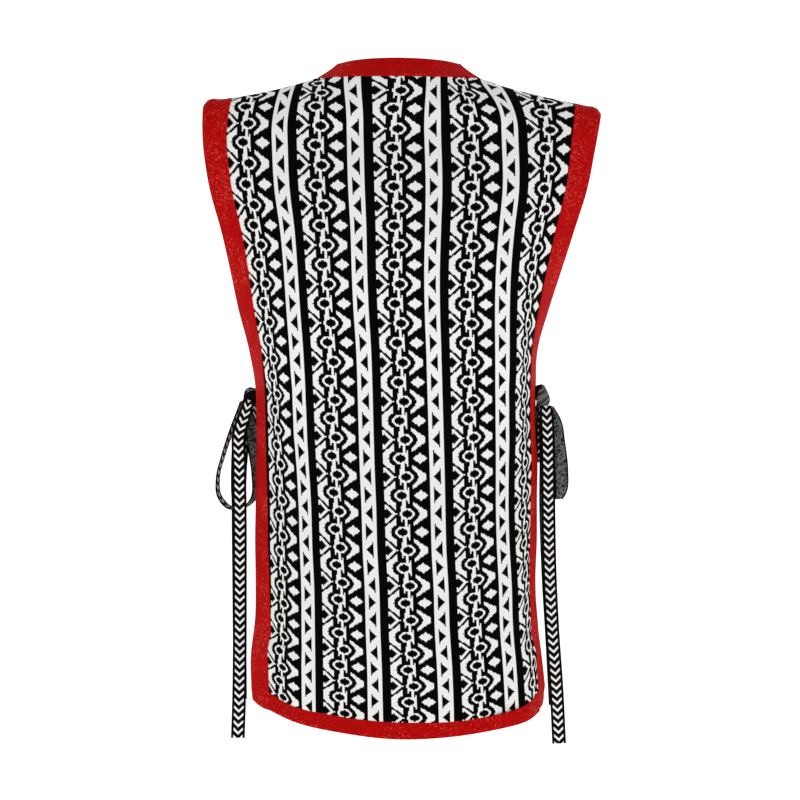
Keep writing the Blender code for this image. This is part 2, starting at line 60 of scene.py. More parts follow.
# The same as a share of a panel's half width and of its height
TUCK_ACROSS = TUCK / 0.17
TUCK_DOWN = TUCK / 0.6
# Where the cloth leaves the body and starts to roll over the shoulder, how full
# the roll is, and which part of a panel's rows it takes, one in so many
ROLL_DROP = 0.055
ROLL_FULLNESS = 1.08
ROLL_PART = 7
# Short steps over which a slope is taken, where the roll starts and elsewhere
ROLL_SLOPE_STEP = 0.001
SLOPE_STEP = 0.002
# The wearer's sides, with the sign that X has there
HANDS = {"left": 1, "right": -1}
# The soft corner where a panel turns to the wearer's side, in pattern repeats
CORNER_PLACE = 1.72
CORNER_WIDTH = 0.50
REACH_REPEATS = 2.3
TURN_STEPS = 40

# One row per height of a panel. depth and shift place its middle line, pitch
# is the width of one pattern repeat, and each side has the gradual turn and
# the corner turn in degrees and the repeats from the middle line to its edge.
PANEL_COLUMNS = ("height", "depth", "shift", "pitch",
                 "left_round", "left_corner", "left_cut",
                 "right_round", "right_corner", "right_cut")
BACK_ROWS = (
    (-0.046, 0.064, 0.0054, 0.0801, 26, 2, 2.26, 8, 17, 2.38),
    (-0.109, 0.091, 0.0038, 0.0792, 36, 3, 2.26, 14, 25, 2.34),
    (-0.150, 0.101, 0.0033, 0.0760, 40, 5, 2.26, 19, 28, 2.34),
    (-0.191, 0.105, 0.0033, 0.0739, 43, 8, 2.26, 21, 36, 2.37),
    (-0.231, 0.103, 0.0023, 0.0727, 41, 16, 2.27, 23, 44, 2.38),
    (-0.272, 0.100, 0.0003, 0.0716, 36, 28, 2.28, 24, 52, 2.38),
    (-0.313, 0.095, -0.0010, 0.0716, 40, 30, 2.34, 33, 46, 2.38),
    (-0.354, 0.096, -0.0021, 0.0718, 48, 22, 2.36, 43, 37, 2.38),
    (-0.395, 0.098, -0.0033, 0.0718, 53, 15, 2.35, 50, 28, 2.34),
    (-0.436, 0.102, -0.0046, 0.0710, 54, 11, 2.34, 52, 26, 2.30),
    (-0.477, 0.107, -0.0056, 0.0707, 53, 10, 2.33, 50, 28, 2.22),
    (-0.518, 0.110, -0.0077, 0.0706, 51, 10, 2.31, 48, 33, 2.17),
    (-0.558, 0.114, -0.0087, 0.0707, 50, 9, 2.28, 47, 34, 2.18),
    (-0.599, 0.116, -0.0107, 0.0716, 48, 5, 2.26, 46, 34, 2.22),
    (-0.640, 0.117, -0.0120, 0.0724, 49, 4, 2.24, 46, 32, 2.20),
    (-0.680, 0.118, -0.0130, 0.0730, 49, 4, 2.24, 46, 30, 2.20),
)
# The front's two sides are alike, so a row gives them once.
FRONT_ROWS = tuple(row + row[4:] for row in (
    (-0.050, -0.066, 0.002, 0.0800, 22, 3, 2.20),
    (-0.100, -0.088, 0.002, 0.0790, 30, 6, 2.16),
    (-0.150, -0.106, 0.002, 0.0760, 38, 10, 2.16),
    (-0.200, -0.119, 0.002, 0.0735, 42, 16, 2.18),
    (-0.260, -0.122, 0.002, 0.0720, 40, 28, 2.18),
    (-0.320, -0.114, 0.002, 0.0715, 44, 26, 2.18),
    (-0.380, -0.112, 0.002, 0.0715, 50, 20, 2.18),
    (-0.450, -0.113, 0.001, 0.0710, 54, 16, 2.18),
    (-0.520, -0.115, 0.001, 0.0708, 55, 14, 2.16),
    (-0.600, -0.115, 0.000, 0.0716, 53, 10, 2.12),
    (-0.680, -0.114, 0.000, 0.0726, 50, 8, 2.10),
))

# The shoulder ridge. place is 0 at the neck, 1 at the panel's edge and 2 at
# the trim's outer edge; lean is how far the cloth has tipped from upright.
SHOULDER_COLUMNS = ("place", "x", "y", "z", "lean")
LEFT_SHOULDER = (
    (0.00, 0.0852, 0.004, 0.0127, 62),
    (0.35, 0.1137, -0.002, 0.0049, 84),
    (0.60, 0.1372, -0.004, -0.0007, 90),
    (1.00, 0.1769, -0.008, -0.0077, 90),
    (1.50, 0.1915, -0.010, -0.0092, 90),
    (1.85, 0.2030, -0.012, -0.0098, 90),
    (2.00, 0.2075, -0.013, -0.0150, 90),
)
RIGHT_SHOULDER = (
    (0.00, -0.0837, 0.004, 0.0128, 62),
    (0.15, -0.0987, 0.000, 0.0079, 78),
    (0.40, -0.1234, -0.003, 0.0003, 90),
    (0.65, -0.1502, -0.006, -0.0058, 90),
    (1.00, -0.1867, -0.010, -0.0134, 90),
    (1.50, -0.2000, -0.012, -0.0163, 90),
    (1.85, -0.2105, -0.014, -0.0185, 90),
    (2.00, -0.2145, -0.015, -0.0235, 90),
)

# The neck seam with the lean of the panel there, and the band's upper edge.
# place is 1 at the left shoulder and -1 at the right.
NECK_COLUMNS = ("place", "x", "y", "z", "lean", "brim_x", "brim_y", "brim_z")
BACK_NECK = (
    (-1.00, -0.0837, 0.004, 0.0128, 62, -0.0640, -0.004, 0.0280),
    (-0.65, -0.0598, 0.026, 0.0119, 42, -0.0475, 0.012, 0.0300),
    (-0.35, -0.0345, 0.038, 0.0114, 34, -0.0285, 0.022, 0.0311),
    (0.00, 0.0010, 0.044, 0.0114, 30, 0.0010, 0.027, 0.0318),
    (0.35, 0.0365, 0.038, 0.0117, 34, 0.0300, 0.022, 0.0314),
    (0.65, 0.0619, 0.026, 0.0123, 42, 0.0475, 0.012, 0.0304),
    (1.00, 0.0852, 0.004, 0.0127, 62, 0.0640, -0.004, 0.0283),
)
FRONT_NECK = (
    (-1.00, -0.0837, 0.004, 0.0128, 62, -0.0640, -0.004, 0.0280),
    (-0.80, -0.0765, -0.014, -0.0100, 55, -0.0590, -0.017, 0.0090),
    (-0.55, -0.0590, -0.040, -0.0440, 45, -0.0460, -0.039, -0.0215),
    (-0.28, -0.0320, -0.060, -0.0750, 36, -0.0265, -0.055, -0.0500),
    (0.00, 0.0010, -0.067, -0.0860, 32, 0.0010, -0.061, -0.0600),
    (0.28, 0.0340, -0.060, -0.0750, 36, 0.0285, -0.055, -0.0500),
    (0.55, 0.0610, -0.040, -0.0440, 45, 0.0480, -0.039, -0.0215),
    (0.80, 0.0780, -0.014, -0.0100, 55, 0.0605, -0.017, 0.0090),
    (1.00, 0.0852, 0.004, 0.0127, 62, 0.0640, -0.004, 0.0283),
)
BACK_NECK_AT = (0.453, 0.576)
FRONT_NECK_AT = (0.500, 0.500)

# Hem seam and hem edge heights across a panel, 1 at the left edge.
HEM_COLUMNS = ("place", "seam", "edge")
BACK_HEM = (
    (-1.00, -0.6320, -0.6535),
    (-0.65, -0.6462, -0.6618),
    (-0.25, -0.6518, -0.6686),
    (0.10, -0.6525, -0.6704),
    (0.45, -0.6488, -0.6660),
    (0.80, -0.6410, -0.6590),
    (1.00, -0.6322, -0.6515),
)
FRONT_HEM = (
    (-1.00, -0.6260, -0.6450),
    (-0.60, -0.6400, -0.6570),
    (0.00, -0.6460, -0.6630),
    (0.60, -0.6400, -0.6570),
    (1.00, -0.6260, -0.6450),
)

# Lower ends of the side trims: edge heights at the panel and at the outer
# edge, and how far the outer corner is drawn in.
BACK_CORNERS = {"left": (-0.6515, -0.6440, 0.06), "right": (-0.6505, -0.6385, 0.34)}
FRONT_CORNERS = dict.fromkeys(HANDS, (-0.6450, -0.6360, 0.20))

# Height of one pattern repeat down the panel, which the knit lets vary.
REPEAT_COLUMNS = ("height", "repeat")
REPEAT_HEIGHTS = (
    (0.060, 0.0402), (-0.120, 0.0402), (-0.170, 0.0394), (-0.230, 0.0399), (-0.290, 0.0404),
    (-0.360, 0.0387), (-0.440, 0.0373), (-0.500, 0.0360), (-0.560, 0.0341), (-0.630, 0.0327),
    (-0.700, 0.0320),
)
FIRST_ROW = -0.0247
# The heights at which the repeats are counted down
LEVEL_STEP = 0.002
LEVELS = np.linspace(0.060, -0.720, 391)
# How far the rows ride up from the middle line to each edge of the panel, and
# the power that shapes the rise.
LIFT_COLUMNS = ("height", "left_lift", "right_lift", "power")
ROW_LIFTS = (
    (-0.050, 0.0105, 0.0015, 1.2), (-0.090, 0.0062, -0.0005, 1.2), (-0.130, 0.0030, -0.0020, 1.4),
    (-0.170, 0.0014, -0.0028, 1.8), (-0.250, 0.0014, -0.0022, 2.0), (-0.300, 0.0060, 0.0030, 2.1),
    (-0.360, 0.0130, 0.0105, 2.3), (-0.430, 0.0155, 0.0195, 2.5), (-0.480, 0.0160, 0.0265, 2.6),
    (-0.540, 0.0160, 0.0285, 2.5), (-0.580, 0.0160, 0.0225, 2.3), (-0.620, 0.0180, 0.0145, 2.3),
    (-0.680, 0.0190, 0.0135, 2.3),
)
# Height of one repeat over the roll
ROLL_REPEAT = 0.0425

# Soft folds on the worn cloth, as lines down or across it: where each
# starts and ends (metres from the middle line, wearer's left positive, and
# height), its half width and its depth, out of the cloth positive.
FOLD_COLUMNS = ("from_run", "from_height", "to_run", "to_height", "half_width", "depth")
# How much of its depth a fold loses on the way to its end
FOLD_FADE = 0.75
BACK_FOLDS = (
    (0.138, -0.325, 0.095, -0.304, 0.011, -0.0014),
    (0.138, -0.350, 0.090, -0.368, 0.012, 0.0012),
    (0.136, -0.380, 0.100, -0.416, 0.012, -0.0011),
    (-0.138, -0.325, -0.100, -0.308, 0.011, -0.0013),
    (-0.138, -0.352, -0.105, -0.376, 0.012, 0.0012),
    (0.060, -0.600, 0.066, -0.450, 0.022, -0.0022),
    (-0.040, -0.620, -0.036, -0.480, 0.024, 0.0020),
    (0.125, -0.630, 0.128, -0.500, 0.017, 0.0020),
    (-0.100, -0.640, -0.098, -0.520, 0.018, -0.0018),
    (0.165, -0.568, 0.112, -0.582, 0.007, -0.0018),
    (0.165, -0.590, 0.120, -0.600, 0.008, 0.0014),
    (-0.165, -0.570, -0.118, -0.580, 0.007, -0.0018),
    (-0.165, -0.592, -0.125, -0.604, 0.008, 0.0013),
)
FRONT_FOLDS = (
    (0.130, -0.325, 0.085, -0.292, 0.013, -0.0026),
    (0.130, -0.350, 0.075, -0.363, 0.014, 0.0024),
    (-0.130, -0.325, -0.090, -0.288, 0.013, -0.0024),
    (-0.130, -0.355, -0.080, -0.378, 0.014, 0.0024),
    (0.050, -0.620, 0.048, -0.430, 0.024, 0.0028),
    (-0.060, -0.610, -0.052, -0.450, 0.024, -0.0026),
    (0.075, -0.110, 0.040, -0.150, 0.018, 0.0022),
    (-0.075, -0.110, -0.042, -0.156, 0.018, 0.0020),
)

# Ribbon runs. Each station is a point on the middle of the ribbon, the
# direction of its width seen from above (0 along X, 90 along Y) and how much
# of the full width it has where it is pinched into the knot. The last two can
# be left out at the end of a station, and are then 0 and 1.
RIBBON_COLUMNS = ("x", "y", "z", "width_turn", "spread")
USUAL_STATION = (0, 0, 0, 0, 1.0)
RIBBONS = {
    "left_tie_back_loop": (
        (0.1704, -0.0120, -0.3310, 88, 0.55), (0.1775, -0.0115, -0.3540, 75, 0.85),
        (0.1885, -0.0110, -0.3870, 78), (0.1950, -0.0110, -0.4130, 80),
        (0.1935, -0.0115, -0.4330, 78), (0.1830, -0.0125, -0.4450, 72),
        (0.1685, -0.0135, -0.4460, 72), (0.1575, -0.0135, -0.4365, 66),
        (0.1540, -0.0130, -0.4090, 54), (0.1562, -0.0125, -0.3760, 14),
        (0.1615, -0.0125, -0.3480, 5, 0.8), (0.1635, -0.0125, -0.3372, 0, 0.5),
    ),
    "left_tie_front_loop": (
        (0.1610, -0.0188, -0.3230, 0, 0.6), (0.1660, -0.0300, -0.3400, 0, 0.9),
        (0.1730, -0.0450, -0.3650), (0.1765, -0.0560, -0.3950),
        (0.1775, -0.0600, -0.4180), (0.1770, -0.0560, -0.4340),
        (0.1755, -0.0460, -0.4375), (0.1740, -0.0380, -0.4250),
        (0.1725, -0.0355, -0.4000), (0.1680, -0.0330, -0.3700, 0, 0.9),
        (0.1580, -0.0265, -0.3450, 0, 0.8), (0.1555, -0.0188, -0.3330, 0, 0.4),
    ),
    "left_tie_back_tail": (
        (0.1606, -0.0050, -0.3290, 0, 0.70), (0.1650, -0.0010, -0.3450, -10, 0.93),
        (0.1703, 0.0030, -0.3620, -8), (0.1708, 0.0040, -0.4000, -6),
        (0.1705, 0.0040, -0.4600, -4), (0.1708, 0.0030, -0.5200, -3),
        (0.1712, 0.0025, -0.5900), (0.1722, 0.0015, -0.6500, 3),
        (0.1738, 0.0005, -0.6935, 6),
    ),
    "left_tie_front_tail": (
        (0.1660, -0.0188, -0.3310, 8, 0.55), (0.1700, -0.0235, -0.3500, 6, 0.9),
        (0.1735, -0.0270, -0.3800, 4), (0.1742, -0.0270, -0.4500, 2),
        (0.1738, -0.0270, -0.5300), (0.1735, -0.0270, -0.6000, -4),
        (0.1732, -0.0265, -0.6560, -6),
    ),
    "right_tie_back_loop": (
        (-0.1622, -0.0098, -0.3380, 0, 0.60), (-0.1672, -0.0070, -0.3520, -8, 0.95),
        (-0.1712, -0.0065, -0.3760, -6), (-0.1745, -0.0075, -0.4040, -5),
        (-0.1748, -0.0120, -0.4270, -4, 0.86), (-0.1728, -0.0190, -0.4365, -2, 0.52),
        (-0.1748, -0.0260, -0.4260, 0, 0.88), (-0.1740, -0.0260, -0.4000),
        (-0.1695, -0.0215, -0.3680, 4, 0.95), (-0.1630, -0.0188, -0.3370, 8, 0.5),
    ),
    "right_tie_front_loop": (
        (-0.1540, -0.0188, -0.3230, 0, 0.5), (-0.1545, -0.0330, -0.3420, 0, 0.9),
        (-0.1560, -0.0470, -0.3640), (-0.1570, -0.0540, -0.3850),
        (-0.1570, -0.0490, -0.3990), (-0.1565, -0.0390, -0.3970),
        (-0.1558, -0.0320, -0.3800), (-0.1545, -0.0260, -0.3560, 0, 0.8),
        (-0.1535, -0.0188, -0.3385, 0, 0.4),
    ),
    "right_tie_back_tail": (
        (-0.1575, -0.0050, -0.3350, 0, 0.8), (-0.1582, -0.0020, -0.3460, 6, 0.97),
        (-0.1588, 0.0020, -0.3620, 5), (-0.1593, 0.0040, -0.3900, 4),
        (-0.1602, 0.0040, -0.4600, 3), (-0.1618, 0.0035, -0.5200, 2),
        (-0.1650, 0.0030, -0.5800), (-0.1695, 0.0020, -0.6400, -3),
        (-0.1727, 0.0010, -0.6995, -6),
    ),
    "right_tie_front_tail": (
        (-0.1560, -0.0140, -0.3397, 0, 0.6), (-0.1575, -0.0160, -0.3560, 0, 0.9),
        (-0.1590, -0.0170, -0.3800), (-0.1590, -0.0180, -0.4400),
        (-0.1620, -0.0210, -0.5200), (-0.1665, -0.0230, -0.5900, 2),
        (-0.1705, -0.0240, -0.6620, 4),
    ),
}
# Runs that turn their right side to the wearer's back
FACE_TO_BACK = ("left_tie_back_loop", "left_tie_back_tail", "right_tie_back_tail")
# Straps: how far in from the trim's outer edge each is sewn, its height, how
# narrow it is at the knot, where it lies there, and its gap to the trim.
STRAP_SEWN = 0.014
STRAP_HEIGHT = -0.3195
STRAP_PINCH = 0.7
STRAP_END_X = {"left": 0.1525, "right": -0.1450}
STRAP_END_INSET = 0.0025
STRAP_GAP = 0.0004
# Knots: centre, size and tilt about the view's axis in degrees. The ribbon's
# wrong side shows where turn_x times x plus turn_z times z, both from -1 to 1
# over the knot, is more than turn_from.
KNOT_TILTS = {"left": -14, "right": 16}
KNOT_TURN_COLUMNS = ("turn_x", "turn_z", "turn_from")
KNOT_TURNS = {"left": (0.6, 1.0, 0.55), "right": (-0.9, -1.0, -0.55)}
KNOTS = {
    "left": ((0.1595, -0.0120, -0.3255), (0.015, 0.012, 0.020)),
    "right": ((-0.1535, -0.0120, -0.3248), (0.015, 0.012, 0.025)),
}
# A knot is a box with very round corners: the power of its roundness, the depth,
# number and slant of its pleats, and where across the ribbon its cloth lies,
# which is only in the black edge, how much of it is seen, and its slant.
KNOT_POWER = 0.72
KNOT_PLEATS = (0.07, 3, 4.5)
KNOT_CLOTH = (0.0052, 0.02, 0.3)

# Mesh steps: a hem across and up, a side trim over the body and over the
# shoulder, the neckband round the back, round the front and up, ribbons across,
# a loop and a tail along, a strap along, a knot round and up.
HEM_STEPS = (120, 8)
TRIM_STEPS = (120, 30)
NECK_STEPS = (80, 100, 12)
RIBBON_ACROSS = 8
LOOP_STEPS, TAIL_STEPS, STRAP_STEPS = 90, 120, 16
KNOT_STEPS = (40, 28)
# Where the columns of a side trim stand, 0 at its seam and 1 at its outer edge
TRIM_SPANS = np.array([0, 0.12, 0.3, 0.5, 0.7, 0.85, 0.94, 1.0])
TRIM_ROUNDING = 0.0009
# The neckband rolls inwards from this middle line by NECK_ROLL, and starts a
# little under the panels' edge.
NECK_MIDDLE = (0.001, -0.010, 0.0)
NECK_ROLL = 0.0012
NECK_UNDER = 0.03

# Sizes in the cloth's look: stitches with a painted glint of the metal thread, the patches
# with more of these painted glints, a loop of the red knit, and floats on a ribbon's wrong side.
GLINT_SIZE = 0.0013
PATCH_SIZE = 0.045
RED_LOOP_SIZE = 0.0012
FLOAT_SIZE = 0.0018
# Threads are drawn 0.5 mm apart, about twice their real spacing.
THREADS_PER_METRE = 2000

# The stage: the floor's height, its near and far end, its half width and the
# radius of its bend; then the lights' places, sizes and powers, and the camera.
FLOOR_HEIGHT = -1.25
FLOOR_NEAR, FLOOR_FAR = 6.0, -4.0
FLOOR_HALF_WIDTH = 9.0
BEND_RADIUS = 4.0
VEST_MIDDLE = (0, 0, -0.33)
LIGHTS = (
    ("key", (0.9, 2.6, 1.5), 1.6, 9.0),
    ("fill", (-1.6, 2.2, 0.3), 1.8, 4.0),
    ("front", (0.0, -2.6, 0.8), 2.0, 10.0),
)
CAMERA_ANGLE = 21.08
CAMERA_PLACE = (-0.00107, 2.2968, -0.2082)
CAMERA_AIM = (-0.00107, 0.0, -0.3286)

# The jacquard chart, counted in whole stitches of one repeat. x runs across
# the repeat from the middle of a white band and b is the same, signed; a and c
# count rows away from the middle rows of the two rows of motifs, and y is a, signed.
STITCHES_ACROSS = 56
ROWS_DOWN = 30
COUNTED = (
    ("stitches", "MULTIPLY", "u", STITCHES_ACROSS),
    ("rows", "MULTIPLY_ADD", "v", ROWS_DOWN, 0.5),
    ("column", "FLOOR", "stitches"),
    ("row", "FLOOR", "rows"),
    ("column_middle", "ADD", "column", 0.5),
)
# The rings: how much they are squashed, the squares of their outer and inner
# radius and of their black margin's, and half the width of the posts beside them.
RING_SQUASH = 1.55
RING_OUTER, RING_INNER, RING_MARGIN = 33, 14.25, 92
POST_HALF = 1.4


def joined(operation, result, first, *others):
    """Steps that join several terms into one result, two at a time."""
    steps = []
    for i, term in enumerate(others, 1):
        name = result if i == len(others) else f"{result}_{i}"
        steps.append((name, operation, first, term))
        first = name
    return steps


def either(result, *terms):
    """Steps for 1 where any of the terms is 1."""
    return joined("MAXIMUM", result, *terms)


def both(result, *terms):
    """Steps for 1 where all of the terms are 1."""
    return joined("MULTIPLY", result, *terms)


def under(result, term, factor, plus, limit, comparison="LESS_THAN"):
    """Steps that compare term times factor plus another term with a limit."""
    line = result + "_line"
    return (line, "MULTIPLY_ADD", term, factor, plus), (result, comparison, line, limit)


def above(*terms):
    return under(*terms, "GREATER_THAN")


def apart(result, term, middle):
    """Steps for how far a term is from a middle."""
    signed = result + "_signed"
    return (signed, "SUBTRACT", term, middle), (result, "ABSOLUTE", signed)


def ring(rows, middle, margin_squash):
    """Steps for a ring on the rows counted by a or c, its eye and its margin."""
    down, x, across = rows + "2", f"ring_{rows}_x", f"ring_{rows}_x2"
    return (
        (x, "SUBTRACT", "x", middle),
        (across, "MULTIPLY", x, x),
        (down, "MULTIPLY", rows, rows),
        *under(f"ring_{rows}_out", down, RING_SQUASH, across, RING_OUTER),
        *under(f"ring_{rows}_in", down, RING_SQUASH, across, RING_INNER),
        *above("past_margin_" + rows, down, margin_squash, across, RING_MARGIN),
    )


def post(name, middle, slope, rows, limit):
    """Steps for a pointed upright beside a ring."""
    return (
        *apart(name + "_x", "x", middle),
        (name + "_wide", "LESS_THAN", name + "_x", POST_HALF),
        *under(name + "_tip", "x", slope, rows, limit),
        *both(name, name + "_wide", name + "_tip"),
    )


CHART = (
    ("x", "WRAP", "column_middle", STITCHES_ACROSS, 0),
    ("b", "WRAP", "column_middle", STITCHES_ACROSS / 2, -STITCHES_ACROSS / 2),
    ("y", "WRAP", "row", ROWS_DOWN / 2, -ROWS_DOWN / 2),
    ("a", "ABSOLUTE", "y"),
    ("c", "SUBTRACT", ROWS_DOWN / 2, "a"),
    # White band with a row of black triangles that point right, then left
    ("off_band", "ABSOLUTE", "b"),
    ("band", "LESS_THAN", "off_band", 6),
    ("middle", "LESS_THAN", "off_band", 3),
    *under("points_right", "b", 1.2, "a", 3.1),
    *under("points_left", "b", -1.2, "c", 3.1),
    *either("pointed", "points_right", "points_left"),
    *both("triangle", "pointed", "middle"),
    ("band_white", "SUBTRACT", "band", "triangle"),
    # Fat bracket that opens to the right
    ("past_stripe", "GREATER_THAN", "x", 13),
    ("before_ring", "LESS_THAN", "x", 22),
    *under("back", "x", -0.85, "a", -6.9),
    *both("bracket", "past_stripe", "before_ring", "back"),
    # Thin chevron between two brackets, with a short barb at its open ends
    *under("chevron_out", "x", 0.875, "c", 19.75),
    *above("chevron_in", "x", 0.98, "c", 19.1),
    ("open_end", "LESS_THAN", "x", 14),
    ("barb_row", "GREATER_THAN", "c", 3.2),
    *both("barb", "open_end", "barb_row"),
    *either("stroke", "chevron_in", "barb"),
    *both("chevron", "stroke", "chevron_out", "past_stripe"),
    # Wide arrowhead on the ring's other side
    ("head_left", "GREATER_THAN", "x", 35.5),
    ("head_right", "LESS_THAN", "x", 47),
    *under("head_out", "x", 0.735, "c", 36.5),
    *both("head", "head_left", "head_right", "head_out"),
    # Small diamond
    *apart("diamond_x", "x", 42.5),
    *under("diamond", "a", 1.2, "diamond_x", 5.45),
    # Two rings, one a little left and one a little right, each with a black
    # margin that cuts into its neighbours
    *ring("a", 27, 1.9),
    *ring("c", 31, 1.45),
    *both("cut_bracket", "bracket", "past_margin_a"),
    *both("cut_head", "head", "past_margin_c"),
    # Bars that link the rings, three stitches wide and then two
    ("below", "GREATER_THAN", "y", 0),
    ("bar_middle", "MULTIPLY_ADD", "below", -1.5, 30),
    ("bar_half", "MULTIPLY_ADD", "below", 0.5, 0.9),
    *apart("bar_x", "x", "bar_middle"),
    ("bar", "LESS_THAN", "bar_x", "bar_half"),
    # Pointed uprights beside the rings
    *post("right_post", 31.5, -1.6, "a", -45.6),
    *post("left_post", 27.5, 1.6, "c", 48.6),
    # All of the white together, less the rings' eyes
    *either("any_white", "band_white", "cut_bracket", "chevron", "cut_head", "diamond",
            "ring_a_out", "ring_c_out", "right_post", "left_post", "bar"),
    *either("eyes", "ring_a_in", "ring_c_in"),
    ("not_eye", "SUBTRACT", 1, "eyes"),
    *both("white", "any_white", "not_eye"),
)
# The wrong side of the jacquard floats each yarn on every other stitch.
BIRDSEYE = (
    ("both", "ADD", "column", "row"),
    ("half", "MULTIPLY", "both", 0.5),
    ("part", "FRACT", "half"),
    ("white", "GREATER_THAN", "part", 0.25),
)
# Each stitch is a V of two legs of yarn, in a column with its neighbours.
STITCH_RELIEF = (
    ("in_column", "FRACT", "stitches"),
    ("from_middle", "SUBTRACT", "in_column", 0.5),
    ("leg", "ABSOLUTE", "from_middle"),
    ("slanted", "ADD", "rows", "leg"),
    ("round_legs", "MULTIPLY", "slanted", 2 * math.pi),
    ("legs", "SINE", "round_legs"),
    ("round_column", "MULTIPLY", "from_middle", 4 * math.pi),
    ("grooves", "COSINE", "round_column"),
    ("relief", "MULTIPLY_ADD", "grooves", -0.6, "legs"),
)


def linear(code):
    """Linear colour of an sRGB hex code."""
    parts = [int(code[i:i + 2], 16) / 255 for i in (1, 3, 5)]
    return tuple(p / 12.92 if p <= 0.04045 else ((p + 0.055) / 1.055) ** 2.4 for p in parts)


def length_property(name, description, default, lowest, highest):
    """A length in metres, with its limits."""
    return FloatProperty(name=name, description=description, default=default,
                         min=lowest, max=highest, unit="LENGTH")


def colour_property(name, description, code):
    """A colour, given as an sRGB hex code."""
    return FloatVectorProperty(name=name, description=description, default=linear(code),
                               size=3, subtype="COLOR")


class VestSizes(PropertyGroup):
    panel_thickness: length_property(
        "Panel thickness", "Thickness of the jacquard cloth", 0.0020, 0.001, 0.003)
    trim_thickness: length_property(
        "Trim thickness", "Thickness of the folded red knit", 0.0028, 0.001, 0.004)
    trim_width: length_property(
        "Trim width", "Width of the side trims", 0.030, 0.02, 0.04)
    ribbon_thickness: length_property(
        "Ribbon thickness", "Thickness of the woven ribbon", 0.0010, 0.0004, 0.0015)
    ribbon_width: length_property(
        "Ribbon width", "Width of the woven ribbon", 0.015, 0.01, 0.02)
    panel_columns: IntProperty(
        name="Panel columns", description="Mesh steps across a panel",
        default=112, min=20, max=200)
    panel_rows: IntProperty(
        name="Panel rows", description="Mesh steps up a panel", default=176, min=30, max=300)


class VestColours(PropertyGroup):
    white_yarn: colour_property("White yarn", "Off-white yarn of the jacquard", "#F2F2F0")
    black_yarn: colour_property("Black yarn", "Black yarn of the jacquard", "#060606")
    red_yarn: colour_property("Red yarn", "Red yarn of the trims", "#B80909")
    # Painted glint: the bright pink-red that the metal thread shows where it catches the light,
    # painted into the trims' colour
    painted_lurex_glint: colour_property(
        "Red metal thread", "Bright metal thread in the red knit", "#E24E44")
    ribbon_black: colour_property("Ribbon black", "Black of the woven ribbon", "#090909")
    ribbon_white: colour_property("Ribbon white", "White weft of the woven ribbon", "#F6F6F6")


def column(rows, names, name):
    """One named column of a table as an array."""
    return np.array([row[names.index(name)] for row in rows], float)


def hermite(t, start, end, step, out, into):
    """A curve from start to end as t runs 0 to 1, with its slopes at both."""
    return ((2 * t**3 - 3 * t**2 + 1) * start + (t**3 - 2 * t**2 + t) * step * out
            + (3 * t**2 - 2 * t**3) * end + (t**3 - t**2) * step * into)


def smooth(xs, ys, x):
    """Read a smooth curve through (xs, ys), held level past both ends."""
    if xs[0] > xs[-1]:
        xs, ys = xs[::-1], ys[::-1]
    slopes = np.gradient(ys, xs)
    x = np.clip(x, xs[0], xs[-1])
    i = np.clip(np.searchsorted(xs, x) - 1, 0, len(xs) - 2)
    step = xs[i + 1] - xs[i]
    return hermite((x - xs[i]) / step, ys[i], ys[i + 1], step, slopes[i], slopes[i + 1])


def read(rows, names, name, at):
    """A named column, read smoothly against the table's first column."""
    return smooth(column(rows, names, names[0]), column(rows, names, name), at)


def drape(rows, place, height):
    """Points where the cloth lies round the body, below the shoulders, and how
    far each is from the middle line along the cloth, in metres and in repeats."""
    place, height = np.broadcast_arrays(np.asarray(place, float), np.asarray(height, float))
    value = {name: read(rows, PANEL_COLUMNS, name, height) for name in PANEL_COLUMNS[1:]}
    left = place >= 0
    cut = np.where(left, value["left_cut"], value["right_cut"]) * value["pitch"]
    trim = bpy.context.scene.vest_sizes.trim_width
    run = np.minimum(abs(place), 1) * cut + np.maximum(abs(place) - 1, 0) * trim
    gradual = np.radians(np.where(left, value["left_round"], value["right_round"]))
    corner = np.radians(np.where(left, value["left_corner"], value["right_corner"]))
    reach = REACH_REPEATS * value["pitch"] + trim
    # Walk along the section from the middle, turning a little at each step.
    steps = (np.arange(TURN_STEPS) + 0.5) / TURN_STEPS
    walked = run[..., None] * steps
    past = (walked / value["pitch"][..., None] - CORNER_PLACE) / CORNER_WIDTH + 0.5
    past = np.clip(past, 0, 1)
    turn = (gradual[..., None] * walked / reach[..., None]
            + corner[..., None] * past**2 * (3 - 2 * past))
    out = np.cos(turn).mean(-1) * run
    back = np.sin(turn).mean(-1) * run
    facing = np.sign(value["depth"])
    points = np.stack([value["shift"] + np.where(left, out, -out),
                       value["depth"] - facing * back, height], -1)
    run = np.where(left, run, -run)
    return points, run, run / value["pitch"]


def top_edge(neck_rows, neck_at, place):
    """The panel's upper edge: the neck seam inside, the shoulder ridge outside."""
    place = np.asarray(place, float)
    left = place >= 0
    size = abs(place)
    limit = np.where(left, neck_at[0], neck_at[1])
    at_neck = size <= limit
    on_ridge = np.where(size <= 1, (size - limit) / (1 - limit), size)
    result = []
    for name in ("x", "y", "z", "lean"):
        neck = read(neck_rows, NECK_COLUMNS, name, np.where(at_neck, place / limit, 0))
        ridge = [read(rows, SHOULDER_COLUMNS, name, np.where(at_neck, 0, on_ridge))
                 for rows in (LEFT_SHOULDER, RIGHT_SHOULDER)]
        result.append(np.where(at_neck, neck, np.where(left, *ridge)))
    return np.stack(result[:3], -1), np.radians(result[3])


